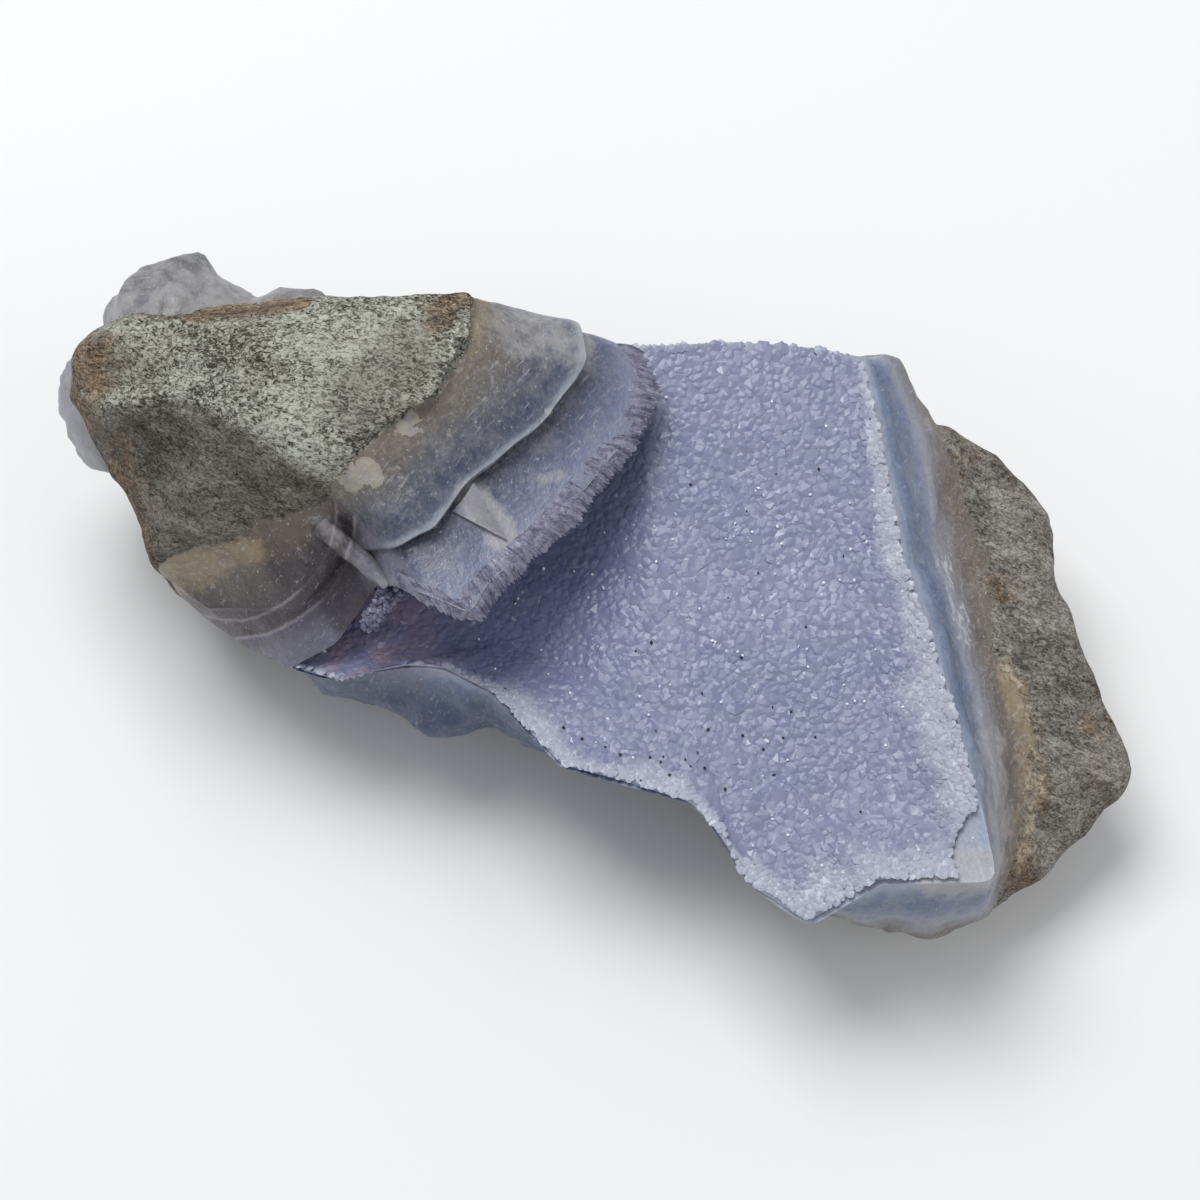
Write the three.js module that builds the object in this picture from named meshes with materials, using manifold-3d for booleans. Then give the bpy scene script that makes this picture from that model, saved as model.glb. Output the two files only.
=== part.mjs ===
// A broken piece of a blue lace agate geode: grey host rock, its banded agate lining, and a crust of
// quartz crystals over the hollow. Millimetres, +Z up, standing on the small flat under it.
import * as THREE from "three";
import { mergeVertices } from "three/addons/utils/BufferGeometryUtils.js";
import Module from "manifold-3d";

// Driving dimensions. The stone is 110 long (X), 67 deep (Y) and 45 high (Z).
const CENTRE_ON_BASE = { x: -0.7, y: 0.8 }; // this point of the tables below is the origin
const CLEARANCE = 0.3; // between the crust and the stone under it
const CRUST_THICKNESS = 0.5; // from the clearance to the crystals' roots
const CRYSTAL_WIDTH = 3; // across one crystal of the crust
const CRYSTAL_HEIGHT = 1.1; // from a crystal's root to its tip
const TIP_HEIGHTS = { least: 0.55, more: 0.9 }; // a tip's height varies in this share of the one above
const VALLEY_HEIGHT = 0.3; // the most that a root stands above the crust's valleys
const LOOSENESS = 0.34; // how far a crystal moves off its lattice, as a share of the lattice's side
const CRUST_FOOT = 0.5; // how deep the uncut crust reaches into the stone
const FRINGE_LENGTH = 3.2; // of the crystals along the broken lip
const FRINGE_WIDTH = 2.7; // of the same crystals
const FRINGE = { first: 17, last: -58, step: -2.9 }; // their directions from the block's axis, in degrees
const ROUGHNESS_WAVES = [15, 11, 8.3, 6.1, 4.7, 3.6]; // wavelengths of the broken rock's lumps
const WAVE_PHASE = 2.4; // radians by which each of those waves is shifted from the one before
const LUMP_ROUGHNESS = 0.8; // height of the lumps on the rounded chalcedony

// The lower slab, as rings around an upright axis, from the crystal floor down to the base.
// A ring is clockwise seen from above, from the back. Its lumps are `rough` high.
const SLAB_AXIS = [5, 2];
const SLAB = [
  { name: "floor centre", rows: 0, rough: 0, points: [[5, 2, 23.2]] },
  {
    name: "floor",
    rows: 2,
    rough: 0.05,
    points: [
      [5, 18, 26.4], [17, 17, 26.8], [24, 6, 25.2], [28, -12, 23.2], [22, -21, 21.2], [9, -12, 21.8],
      [0, -8.5, 20.6], [-8, -3, 18.8], [-14, 4, 18.2], [-10, 13, 19], [-2, 18, 23.6],
    ],
  },
  {
    name: "rim of the crystal floor",
    rows: 2,
    rough: 0.15,
    points: [
      [3.6, 26.8, 29], [12.3, 27.2, 29], [22.5, 26.6, 29], [26.9, 25.2, 29], [28.6, 16.5, 28],
      [30.5, 3.7, 26.5], [33.7, -6.8, 25.5], [36.2, -17.3, 25], [38.7, -29.4, 23.5], [27.2, -29.2, 22.5],
      [20.4, -32.8, 20], [14, -28.3, 20], [12.6, -24.8, 21], [8.9, -20.6, 21.5], [3.9, -19, 21.6],
      [-3.9, -16.6, 21.4], [-11, -8.5, 21.2], [-16, -5.8, 21.2], [-20.5, -5.6, 21.4], [-26.4, -6.9, 20.2],
      [-31, -4.8, 18.4], [-34.6, -0.6, 17.2], [-32, 12, 17], [-25, 20, 20], [-10, 25, 24],
    ],
  },
  {
    name: "foot of the agate",
    rows: 2,
    rough: 0.35,
    points: [
      [3, 27.5, 21], [12, 28, 21], [22, 27.6, 22], [31, 27.6, 26], [34.6, 22.3, 22], [36, 11.4, 20],
      [38.1, 0.6, 19], [40.3, -10.1, 18], [41.1, -18.3, 17], [40.4, -23.9, 15], [38.8, -28.3, 9],
      [32.6, -31, 10], [26.6, -31.2, 14], [21, -28, 13], [15.5, -23.8, 12], [13, -20.4, 12],
      [9, -15.6, 13], [3, -14, 13], [-5.5, -12.7, 16], [-10.1, -10.5, 16], [-12.1, -9.1, 17],
      [-17, -10, 14], [-20.4, -8.2, 14], [-27.6, -4.8, 14], [-34, 3, 14], [-33, 14, 14], [-12, 25, 16],
    ],
  },
  {
    name: "edge of the rock",
    rows: 3,
    rough: 0.7,
    points: [
      [4, 27, 11], [20, 27, 11], [30, 25, 14], [36, 22.2, 19], [42, 20, 18.5], [47.4, 14.2, 17.5],
      [48.2, 5.2, 17], [51.5, -4.6, 16], [55, -11.4, 14], [54.4, -15.4, 13], [46.8, -21.8, 10],
      [40.4, -26.3, 8], [33, -27.4, 5.5], [24, -23.5, 5.5], [15.5, -18, 5], [9, -11, 5], [0, -9, 6],
      [-10, -6.5, 8], [-20, -4, 7], [-28, -1, 7], [-33, 6, 7], [-32, 14, 7], [-12, 25, 9],
    ],
  },
  {
    name: "foot of the rock",
    rows: 2,
    rough: 0.5,
    points: [
      [6, 22, 1.6], [26, 21, 2], [40, 14, 3.5], [45, 4, 3.5], [47, -8, 4], [44, -17, 3], [36, -20, 1.8],
      [26, -15, 1.4], [14, -8, 1.2], [0, -4, 1.2], [-15, -1, 1.4], [-28, 3, 1.5], [-30, 14, 1.5],
      [-12, 21, 1.5],
    ],
  },
  {
    name: "flat spot",
    rows: 1,
    rough: 0,
    points: [
      [6, 18, -1], [24, 17, -1], [35, 10, -1], [38, -4, -1], [34, -13, -1], [14, -5, -1], [-14, 2, -1],
      [-25, 6, -1], [-25, 13, -1], [-10, 18, -1],
    ],
  },
  { name: "under the centre", rows: 1, rough: 0, points: [[5, 2, -1]] },
];

// The upper block over the hollow, in the same way, from its top down and in under its lip.
const BLOCK_AXIS = [-30, 16];
const BLOCK = [
  { name: "top", rows: 0, rough: 0, points: [[-30, 16, 45.4]] },
  {
    name: "shoulder of the rock",
    rows: 2,
    rough: 0.35,
    points: [
      [-28.5, 23.8, 43], [-19.6, 24.4, 44], [-12.8, 25, 43], [-12.7, 20.2, 44], [-16.4, 12.4, 44],
      [-24.5, 8.6, 43], [-33.9, 10.8, 42], [-42.2, 14.4, 39], [-48.4, 15.1, 37], [-52.3, 17.9, 35],
      [-51.6, 21.3, 38], [-44.4, 23.9, 41], [-36.2, 22.1, 43],
    ],
  },
  {
    name: "edge of the rock",
    rows: 2,
    rough: 0.5,
    points: [
      [-28, 26.5, 38], [-19, 26.5, 39], [-12.3, 24.7, 42.6], [-14.1, 18.5, 43], [-16.5, 14.1, 43],
      [-20.3, 10.8, 43], [-24.5, 6.9, 41], [-29.2, 4.1, 36], [-34.3, 4.5, 33], [-39.7, 4.2, 30],
      [-44.8, 3, 27], [-48.5, 11.9, 28], [-51.6, 16.3, 28], [-54, 20, 30], [-52.5, 23, 35],
      [-47.8, 25.2, 37], [-38, 27, 38],
    ],
  },
  {
    name: "edge of the outer agate layer",
    rows: 2,
    rough: 0.2,
    points: [
      [-20, 27.5, 34], [-9, 26.8, 37], [-2, 24.7, 37.8], [-1.4, 20.3, 37.8], [-5.4, 13.6, 37.8],
      [-12.7, 7, 37.8], [-16.1, 2, 37.8], [-19.5, 0.4, 37], [-24.8, 3.1, 30], [-29.8, -1.5, 27],
      [-39.6, 0.2, 22], [-45.2, 4.9, 22], [-47.8, 12.6, 22], [-50.4, 18, 22], [-54.8, 22.6, 23],
      [-52.5, 27.5, 25], [-44, 30.5, 27], [-33, 28.5, 29],
    ],
  },
  {
    name: "foot of the ledge",
    rows: 1,
    rough: 0.15,
    points: [
      [-20, 27.6, 32.5], [-9, 26.9, 35.5], [-2.3, 24.6, 36.4], [-1.9, 20.2, 36.2], [-5.8, 13.6, 36.2],
      [-13, 7.2, 36.2], [-16.4, 2.4, 36.2], [-19.8, 0.9, 35.6], [-24.7, 3.4, 28.4], [-29.7, -1.2, 25.4],
      [-39.5, 0.8, 20.4], [-45.1, 5.7, 20.4], [-47.8, 13.3, 20.5], [-50, 18.4, 20.5], [-54.6, 23.2, 21.5],
      [-52.5, 27.6, 23.5], [-44, 30.6, 25.5], [-33, 28.6, 27.5],
    ],
  },
  {
    name: "lip",
    rows: 1,
    rough: 0.2,
    points: [
      [-20, 28, 27], [-6, 27, 31.5], [3.5, 24.9, 32.5], [4.8, 19.5, 33], [2.5, 13.7, 33.2], [0, 10.2, 33.5],
      [-3.9, 4.7, 34], [-6.8, 1.4, 34.4], [-10.8, -2.9, 34.8], [-12.6, -6, 35], [-15.6, -4.7, 35],
      [-19, -2.9, 34.6], [-22.1, 0.8, 27], [-26.3, -3.3, 22.4], [-31.4, -5, 19], [-36.4, -1.2, 16.5],
      [-44, 6, 14], [-47.8, 12.9, 15], [-49.9, 17.8, 16], [-54.2, 24, 18], [-52.5, 28, 18], [-44, 31, 20],
      [-33, 29.3, 22],
    ],
  },
  {
    name: "underside of the lip",
    rows: 1,
    rough: 0.1,
    points: [
      [-20, 28, 25], [-5, 26.4, 29.6], [2.2, 24.4, 30.6], [3.6, 19.6, 31], [1.5, 14.2, 31.2],
      [-0.9, 10.9, 31.4], [-4.7, 5.6, 31.9], [-7.5, 2.4, 32.3], [-11.4, -1.8, 32.6], [-13.1, -4.6, 32.8],
      [-15.8, -3.6, 32.8], [-18.8, -1.8, 32.2], [-22.4, 1.6, 25], [-26.4, -2.6, 20], [-31.4, -3.2, 16],
      [-36.4, 0.6, 13], [-43.5, 7.6, 12], [-47.8, 13.8, 13], [-49.9, 18.6, 14], [-53.6, 24.4, 15.6],
      [-52, 28, 15.6], [-44, 30.8, 17.6], [-33, 29.2, 19.6],
    ],
  },
  {
    name: "roof of the hollow",
    rows: 1,
    rough: 0.1,
    points: [
      [-20, 27.6, 18], [-6, 25, 26], [-3.5, 21, 30.2], [-6, 15.6, 30.4], [-8.5, 11.6, 30.4], [-12, 7, 30.6],
      [-15, 4.2, 30.8], [-18, 3, 30.8], [-21, 4, 28], [-24, 4.5, 20.5], [-28, 2, 14], [-35.5, 3, 10],
      [-42.7, 7.8, 9.5], [-47.4, 13.6, 10], [-49.5, 18.4, 11], [-52.4, 23.6, 12], [-51, 27.5, 12],
      [-43.5, 30.2, 13], [-33, 28.8, 14],
    ],
  },
  {
    name: "back of the hollow",
    rows: 1,
    rough: 0.2,
    points: [
      [-20, 26.4, 10], [-9, 23.6, 15], [-9, 20.5, 23], [-12, 16.4, 21.5], [-15.5, 13, 20.5],
      [-18.5, 10.4, 19.8], [-21.5, 9, 19.4], [-24.5, 7.8, 19], [-28, 4.5, 12], [-35, 4.5, 6],
      [-41.5, 6.5, 5.5], [-46, 12.5, 6], [-48, 18, 6.5], [-49, 23, 7], [-47, 26.5, 7], [-41, 28, 7],
      [-33, 27, 8],
    ],
  },
  {
    name: "foot of the block",
    rows: 1,
    rough: 0.3,
    points: [
      [-20, 22, 2], [-15, 19, 3], [-18, 14, 3], [-26, 8, 2.5], [-34, 7, 1.6], [-39, 10, 1.8], [-42, 16, 2.2],
      [-41, 22, 2.4], [-33, 23, 2],
    ],
  },
  { name: "under the block", rows: 1, rough: 0, points: [[-30, 16, 1]] },
];

// Rounded lumps of chalcedony on the block's left end and back: centre, half sizes, turn about Z.
const LUMPS = [
  { at: [-41.6, 24, 27], half: [9.4, 10.8, 12.6], turn: 0.2 },
  { at: [-30, 24.4, 26], half: [13, 7.6, 12], turn: -0.1 },
  { at: [-49.8, 23.6, 23.4], half: [5.6, 5.4, 8.4], turn: 0.5 },
];

// A finger of chalcedony that stands in the broken end of the roof, by its ends and radii.
const FINGER = { from: [-27.2, 4.6, 32.6], to: [-20.4, 0.2, 28.4], thick: 1.4, thin: 1.1, sides: 7 };

// A flake of chalcedony that leans on the ledge: the corners of its top face, and its depth.
const FLAKE = { corners: [[-14.3, 4.2, 36.8], [-9, 1.4, 35.9], [-12.7, 7, 38.2]], deep: 2.5 };

const ANGLE_GAPS = [4, 7]; // a loft's lengthwise lines are at least and at most this many degrees apart
const BASE_SIZE = 200; // of the block that cuts the flat spot
const CUTTER = { low: 5, high: 60, floor: 0.99, roof: 1 }; // heights and scales of the crust's outlines
const MERGE_DISTANCE = 1e-4; // vertices closer than this are one

const wasm = await Module();
wasm.setup();

/** A closed three.js geometry as a manifold-3d solid. */
function solidOf(geometry) {
  const bare = geometry.clone();
  bare.deleteAttribute("normal");
  bare.deleteAttribute("uv");
  const merged = mergeVertices(bare, MERGE_DISTANCE);
  return new wasm.Manifold(
    new wasm.Mesh({
      numProp: 3,
      vertProperties: merged.attributes.position.array,
      triVerts: new Uint32Array(merged.index.array),
    }),
  );
}

/** A manifold-3d solid as a three.js geometry. */
function geometryOf(solid) {
  const mesh = solid.getMesh();
  const geometry = new THREE.BufferGeometry();
  geometry.setAttribute("position", new THREE.BufferAttribute(mesh.vertProperties, mesh.numProp));
  geometry.setIndex(new THREE.BufferAttribute(mesh.triVerts, 1));
  geometry.computeVertexNormals();
  return geometry;
}

/** Lumps of broken rock: a sum of sine waves in directions spread evenly over a sphere, from -1 to 1. */
function lumps(x, y, z) {
  const golden = Math.PI * (3 - Math.sqrt(5));
  return ROUGHNESS_WAVES.reduce((sum, wave, i) => {
    const up = 1 - (2 * i + 1) / ROUGHNESS_WAVES.length;
    const out = Math.sqrt(1 - up * up);
    const along = x * out * Math.cos(golden * i) + y * out * Math.sin(golden * i) + z * up;
    const share = wave / ROUGHNESS_WAVES[0];
    return sum + share * Math.sin((2 * Math.PI * along) / wave + WAVE_PHASE * i);
  }, 0) / 2;
}

/** Where the ray from an axis at an angle meets a ring, whose sides are straight seen from above. */
function onRing(points, axis, angle) {
  if (points.length === 1) return new THREE.Vector3(...points[0]);
  const [cos, sin] = [Math.cos(angle), Math.sin(angle)];
  const ahead = (p) => (p[0] - axis[0]) * cos + (p[1] - axis[1]) * sin;
  const aside = (p) => (p[1] - axis[1]) * cos - (p[0] - axis[0]) * sin;
  for (let i = 0; i < points.length; i++) {
    const [p, q] = [points[i], points[(i + 1) % points.length]];
    const [before, after] = [aside(p), aside(q)];
    if (before >= 0 && after < 0) {
      const share = before / (before - after);
      if (ahead(p) + share * (ahead(q) - ahead(p)) > 0)
        return new THREE.Vector3(...p).lerp(new THREE.Vector3(...q), share);
    }
  }
  throw new Error("a ring doesn't go round its axis");
}

/** The angles of a loft's lengthwise lines, clockwise: those of the rings' corners, thinned and filled. */
function anglesOf(rings, axis) {
  const [least, most] = ANGLE_GAPS.map(THREE.MathUtils.degToRad);
  const corners = rings.flatMap((ring) => (ring.points.length > 1 ? ring.points : []));
  const sorted = corners.map(([x, y]) => Math.atan2(y - axis[1], x - axis[0])).sort((a, b) => b - a);
  const kept = [sorted[0]];
  for (const angle of sorted) if (kept.at(-1) - angle > least) kept.push(angle);
  const angles = [];
  kept.forEach((angle, i) => {
    const next = i + 1 < kept.length ? kept[i + 1] : kept[0] - 2 * Math.PI;
    const count = Math.ceil((angle - next) / most);
    for (let j = 0; j < count; j++) angles.push(angle + ((next - angle) * j) / count);
  });
  return angles;
}

/** The rows of points down a loft, ring by ring, with how rough each row is. */
function rowsOf(rings, axis, angles) {
  const rows = [];
  rings.forEach((ring, k) => {
    const here = angles.map((angle) => onRing(ring.points, axis, angle));
    if (k === 0) {
      rows.push({ circle: here, rough: ring.rough });
      return;
    }
    const above = rows[rows.length - 1];
    for (let j = 1; j <= ring.rows; j++) {
      const share = j / ring.rows;
      rows.push({
        circle: here.map((p, i) => above.circle[i].clone().lerp(p, share)),
        rough: above.rough + share * (ring.rough - above.rough),
      });
    }
  });
  return rows;
}

/** A closed loft through rings, which starts and ends at a point. Each vertex is moved out by `grow`. */
function loft(rings, axis, grow = 0) {
  const angles = anglesOf(rings, axis);
  const steps = angles.length;
  const rows = rowsOf(rings, axis, angles);
  const inner = rows.slice(1, -1);
  const positions = [rows[0].circle[0], ...inner.flatMap((row) => row.circle), rows.at(-1).circle[0]];
  const last = positions.length - 1;
  const at = (row, i) => 1 + row * steps + (i % steps);
  const faces = [];
  for (let i = 0; i < steps; i++) {
    faces.push(0, at(0, i + 1), at(0, i));
    faces.push(last, at(inner.length - 1, i), at(inner.length - 1, i + 1));
    for (let row = 0; row < inner.length - 1; row++) {
      faces.push(at(row, i), at(row, i + 1), at(row + 1, i));
      faces.push(at(row, i + 1), at(row + 1, i + 1), at(row + 1, i));
    }
  }
  const geometry = new THREE.BufferGeometry().setFromPoints(positions).setIndex(faces);
  geometry.computeVertexNormals();
  const rough = [0, ...inner.flatMap((row) => Array(steps).fill(row.rough)), 0];
  return roughen(geometry, (i) => rough[i], grow);
}

/** Moves each vertex along its normal: by lumps as high as `rough` says for it, and by `grow`. */
function roughen(geometry, rough, grow) {
  const { position, normal } = geometry.attributes;
  for (let i = 0; i < position.count; i++) {
    const [x, y, z] = [position.getX(i), position.getY(i), position.getZ(i)];
    const out = rough(i) * lumps(x, y, z) + grow;
    position.setXYZ(i, x + out * normal.getX(i), y + out * normal.getY(i), z + out * normal.getZ(i));
  }
  return geometry;
}

/** A rounded lump of chalcedony. */
function lump({ at, half, turn }, grow = 0) {
  const ball = new THREE.IcosahedronGeometry(1, 3);
  const round = mergeVertices(ball.deleteAttribute("uv").deleteAttribute("normal"));
  round.scale(...half);
  round.rotateZ(turn);
  round.translate(...at);
  round.computeVertexNormals();
  return roughen(round, () => LUMP_ROUGHNESS, grow);
}

/** The turn that takes a shape's own Y axis to a direction. */
function turnTo(direction) {
  return new THREE.Quaternion().setFromUnitVectors(new THREE.Vector3(0, 1, 0), direction);
}

/** The chalcedony finger, a seven-sided rod between two points. */
function finger(grow = 0) {
  const [from, to] = [new THREE.Vector3(...FINGER.from), new THREE.Vector3(...FINGER.to)];
  const along = to.clone().sub(from);
  const length = along.length() + 2 * grow;
  const rod = new THREE.CylinderGeometry(FINGER.thin + grow, FINGER.thick + grow, length, FINGER.sides, 3);
  rod.applyQuaternion(turnTo(along.clone().normalize()));
  rod.translate(...from.lerp(to, 0.5).toArray());
  return rod;
}

/** The flake on the ledge, a wedge with three corners above and three below. */
function flake(grow = 0) {
  const corners = FLAKE.corners.map((p) => new THREE.Vector3(...p));
  const centre = corners.reduce((sum, p) => sum.clone().add(p)).divideScalar(3);
  const out = corners.map((p) => p.clone().lerp(centre, -grow / 3));
  const high = out.map((p) => p.clone().setZ(p.z + grow));
  const low = out.map((p) => p.clone().setZ(p.z - FLAKE.deep - grow));
  const faces = [0, 2, 1, 3, 4, 5, 0, 1, 4, 0, 4, 3, 1, 2, 5, 1, 5, 4, 2, 0, 3, 2, 3, 5];
  return new THREE.BufferGeometry().setFromPoints([...low, ...high]).setIndex(faces);
}

/** The whole stone as one solid, cut flat at its base. */
function stone(grow = 0) {
  const parts = [
    loft(SLAB, SLAB_AXIS, grow),
    loft(BLOCK, BLOCK_AXIS, grow),
    ...LUMPS.map((one) => lump(one, grow)),
    finger(grow),
    flake(grow),
  ].map(solidOf);
  const below = new THREE.BoxGeometry(BASE_SIZE, BASE_SIZE, BASE_SIZE).translate(0, 0, -BASE_SIZE / 2);
  return parts.reduce((sum, part) => sum.add(part)).subtract(solidOf(below));
}

/** The height of a loft over a point, between two of its rings. */
function heightBetween(rings, names, axis, x, y) {
  const angle = Math.atan2(y - axis[1], x - axis[0]);
  const reach = Math.hypot(x - axis[0], y - axis[1]);
  const stops = names.map((name) => onRing(rings.find((ring) => ring.name === name).points, axis, angle));
  const far = (p) => Math.hypot(p.x - axis[0], p.y - axis[1]);
  for (let k = 0; k < stops.length - 1; k++) {
    const [a, b] = [far(stops[k]), far(stops[k + 1])];
    const share = (reach - a) / (b - a);
    if (share <= 1 || k === stops.length - 2) return THREE.MathUtils.lerp(stops[k].z, stops[k + 1].z, share);
  }
}

const FLOOR_RINGS = ["floor centre", "floor", "rim of the crystal floor"];
const ROOF_RINGS = ["back of the hollow", "roof of the hollow", "underside of the lip"];
const floorHeight = (x, y) => heightBetween(SLAB, FLOOR_RINGS, SLAB_AXIS, x, y);
const roofHeight = (x, y) => heightBetween(BLOCK, ROOF_RINGS, BLOCK_AXIS, x, y);

/** A number from 0 to 1 that is always the same for the same two whole numbers. */
function scatter(i, j) {
  const wave = Math.sin(i * 12.9898 + j * 78.233) * 43758.5453;
  return wave - Math.floor(wave);
}

/**
 * A blanket of six-sided crystals over a rectangle. Points lie on a lattice of triangles, of which
 * every third is a tip, so that each tip has the six around it as its root.
 */
function crystalBlanket({ low, high, surface, facing }) {
  const side = CRYSTAL_WIDTH / Math.sqrt(3);
  const rise = (side * Math.sqrt(3)) / 2;
  const columns = Math.ceil((high[0] - low[0]) / side) + 1;
  const lines = Math.ceil((high[1] - low[1]) / rise) + 1;
  const loose = side * LOOSENESS;
  const { least, more } = TIP_HEIGHTS;
  const [outer, inner] = [[], []];
  for (let j = 0; j < lines; j++) {
    for (let i = 0; i < columns; i++) {
      const tip = (i - Math.floor(j / 2) - j + 3 * lines) % 3 === 0;
      const x = low[0] + side * (i + (j % 2) / 2) + loose * (scatter(i, j) - 0.5);
      const y = low[1] + rise * j + loose * (scatter(j, i + 50) - 0.5);
      const tipHeight = CRYSTAL_HEIGHT * (least + more * scatter(i + 9, j + 4));
      const tall = tip ? tipHeight : VALLEY_HEIGHT * scatter(i, j + 7);
      const z = surface(x, y);
      outer.push(new THREE.Vector3(x, y, z + facing * (CLEARANCE + CRUST_THICKNESS + tall)));
      inner.push(new THREE.Vector3(x, y, z - facing * CRUST_FOOT));
    }
  }
  return slabBetween(outer, inner, columns, lines, facing);
}

/** A closed solid between two sheets of points, `facing` 1 where the outer one is above. */
function slabBetween(outer, inner, columns, lines, facing) {
  const faces = [];
  const count = outer.length;
  const add = (a, b, c) => (facing > 0 ? faces.push(a, b, c) : faces.push(a, c, b));
  const quad = (a, b, c, d) => {
    add(a, b, c);
    add(a, c, d);
  };
  for (let j = 0; j < lines - 1; j++) {
    for (let i = 0; i < columns - 1; i++) {
      const [a, b] = [j * columns + i, j * columns + i + 1];
      const [c, d] = [a + columns, b + columns];
      const split = j % 2 ? [[a, b, d], [a, d, c]] : [[a, b, c], [b, d, c]];
      for (const [p, q, r] of split) {
        add(p, q, r);
        add(p + count, r + count, q + count);
      }
    }
  }
  for (let i = 0; i < columns - 1; i++) {
    const far = (lines - 1) * columns + i;
    quad(i, i + count, i + 1 + count, i + 1);
    quad(far + 1, far + 1 + count, far + count, far);
  }
  for (let j = 0; j < lines - 1; j++) {
    const [near, next] = [j * columns, (j + 1) * columns];
    quad(next, next + count, near + count, near);
    quad(near + columns - 1, near + columns - 1 + count, next + columns - 1 + count, next + columns - 1);
  }
  return new THREE.BufferGeometry().setFromPoints([...outer, ...inner]).setIndex(faces);
}

/** An upright prism over the outline of a ring, drawn in or out from its axis. */
function prismOver(ring, axis, scale) {
  const outline = ring.points.map(
    ([x, y]) => new THREE.Vector2(axis[0] + (x - axis[0]) * scale, axis[1] + (y - axis[1]) * scale),
  );
  const upright = { depth: CUTTER.high - CUTTER.low, bevelEnabled: false };
  return new THREE.ExtrudeGeometry(new THREE.Shape(outline), upright).translate(0, 0, CUTTER.low);
}

/**
 * One crystal: a six-sided prism with a pointed end, from its root along a direction. The prism
 * narrows a little up to the point, which starts at 55% of the length.
 */
function crystal(root, direction, width, length, twist) {
  const profile = [[0, 0], [width / 2, 0], [width * 0.46, length * 0.55], [0, length]];
  const shape = new THREE.LatheGeometry(profile.map(([r, y]) => new THREE.Vector2(r, y)), 6);
  shape.rotateY(twist);
  shape.applyQuaternion(turnTo(direction));
  return shape.translate(root.x, root.y, root.z);
}

/**
 * The comb of longer crystals along the broken lip of the roof. They start three quarters of the
 * way down the lip's edge, point outwards and down at 42 to 54 degrees, and vary in length.
 */
function fringe() {
  const lip = BLOCK.find((ring) => ring.name === "lip").points;
  const under = BLOCK.find((ring) => ring.name === "underside of the lip").points;
  const count = Math.ceil((FRINGE.last - FRINGE.first) / FRINGE.step);
  const teeth = [];
  for (let i = 0; i < count; i++) {
    const angle = THREE.MathUtils.degToRad(FRINGE.first + FRINGE.step * i);
    const top = onRing(lip, BLOCK_AXIS, angle);
    const root = top.clone().lerp(onRing(under, BLOCK_AXIS, angle), 0.75);
    const out = new THREE.Vector3(Math.cos(angle), Math.sin(angle), -0.9 - 0.5 * scatter(i, 1)).normalize();
    const start = root.clone().addScaledVector(out, -FRINGE_LENGTH * 0.35);
    const length = FRINGE_LENGTH * (0.85 + 0.4 * scatter(i, 2));
    teeth.push(crystal(start, out, FRINGE_WIDTH, length, i));
  }
  return teeth;
}

/** The crust of crystals over the floor and the roof of the hollow, clear of the stone. */
function crust() {
  const rim = SLAB.find((ring) => ring.name === "rim of the crystal floor");
  const lip = BLOCK.find((ring) => ring.name === "underside of the lip");
  const floor = crystalBlanket({ low: [-28, -34], high: [40, 29], surface: floorHeight, facing: 1 });
  const roof = crystalBlanket({ low: [-27, -6], high: [5, 27], surface: roofHeight, facing: -1 });
  const overFloor = solidOf(floor).intersect(solidOf(prismOver(rim, SLAB_AXIS, CUTTER.floor)));
  const underRoof = solidOf(roof).intersect(solidOf(prismOver(lip, BLOCK_AXIS, CUTTER.roof)));
  const whole = [underRoof, ...fringe().map(solidOf)].reduce((sum, part) => sum.add(part), overFloor);
  const pieces = whole.subtract(stone(CLEARANCE)).decompose();
  return pieces.reduce((best, piece) => (piece.volume() > best.volume() ? piece : best));
}

const rockAndAgate = new THREE.MeshStandardMaterial({ color: 0x83867f, roughness: 0.75, metalness: 0 });
const quartz = new THREE.MeshStandardMaterial({ color: 0xa3a5cb, roughness: 0.3, metalness: 0 });

const geode = new THREE.Group();
const solids = [
  ["geode_stone", stone(), rockAndAgate],
  ["crystal_crust", crust(), quartz],
];
for (const [name, solid, material] of solids) {
  const mesh = new THREE.Mesh(geometryOf(solid), material);
  mesh.name = name;
  mesh.position.set(-CENTRE_ON_BASE.x, -CENTRE_ON_BASE.y, 0);
  geode.add(mesh);
}

export default geode;
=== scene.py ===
"""A broken piece of a blue lace agate geode: grey host rock, its banded agate and a druse of quartz."""

from __future__ import annotations

import logging
import math
from dataclasses import dataclass, field
from enum import Enum
from typing import Any, Callable, Sequence

import bpy
import numpy as np
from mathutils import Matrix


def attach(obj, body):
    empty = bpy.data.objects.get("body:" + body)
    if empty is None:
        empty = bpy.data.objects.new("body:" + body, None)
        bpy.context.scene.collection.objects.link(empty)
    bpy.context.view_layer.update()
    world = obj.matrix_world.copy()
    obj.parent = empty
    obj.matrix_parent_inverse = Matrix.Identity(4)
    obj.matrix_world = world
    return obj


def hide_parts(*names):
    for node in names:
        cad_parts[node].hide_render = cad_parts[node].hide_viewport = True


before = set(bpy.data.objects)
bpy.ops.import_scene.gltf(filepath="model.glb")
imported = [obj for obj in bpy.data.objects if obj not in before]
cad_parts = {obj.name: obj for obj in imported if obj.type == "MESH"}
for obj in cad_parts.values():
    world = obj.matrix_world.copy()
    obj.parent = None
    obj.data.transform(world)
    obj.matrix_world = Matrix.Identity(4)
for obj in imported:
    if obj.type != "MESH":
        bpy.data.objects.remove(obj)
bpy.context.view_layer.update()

LOG = logging.getLogger("geode")
MM = 0.001
CENTRE_ON_BASE = np.array([-0.7, 0.8, 0.0])  # this point of the tables below is the origin, in mm
UP = np.array([0.0, 0.0, 1.0])


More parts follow.
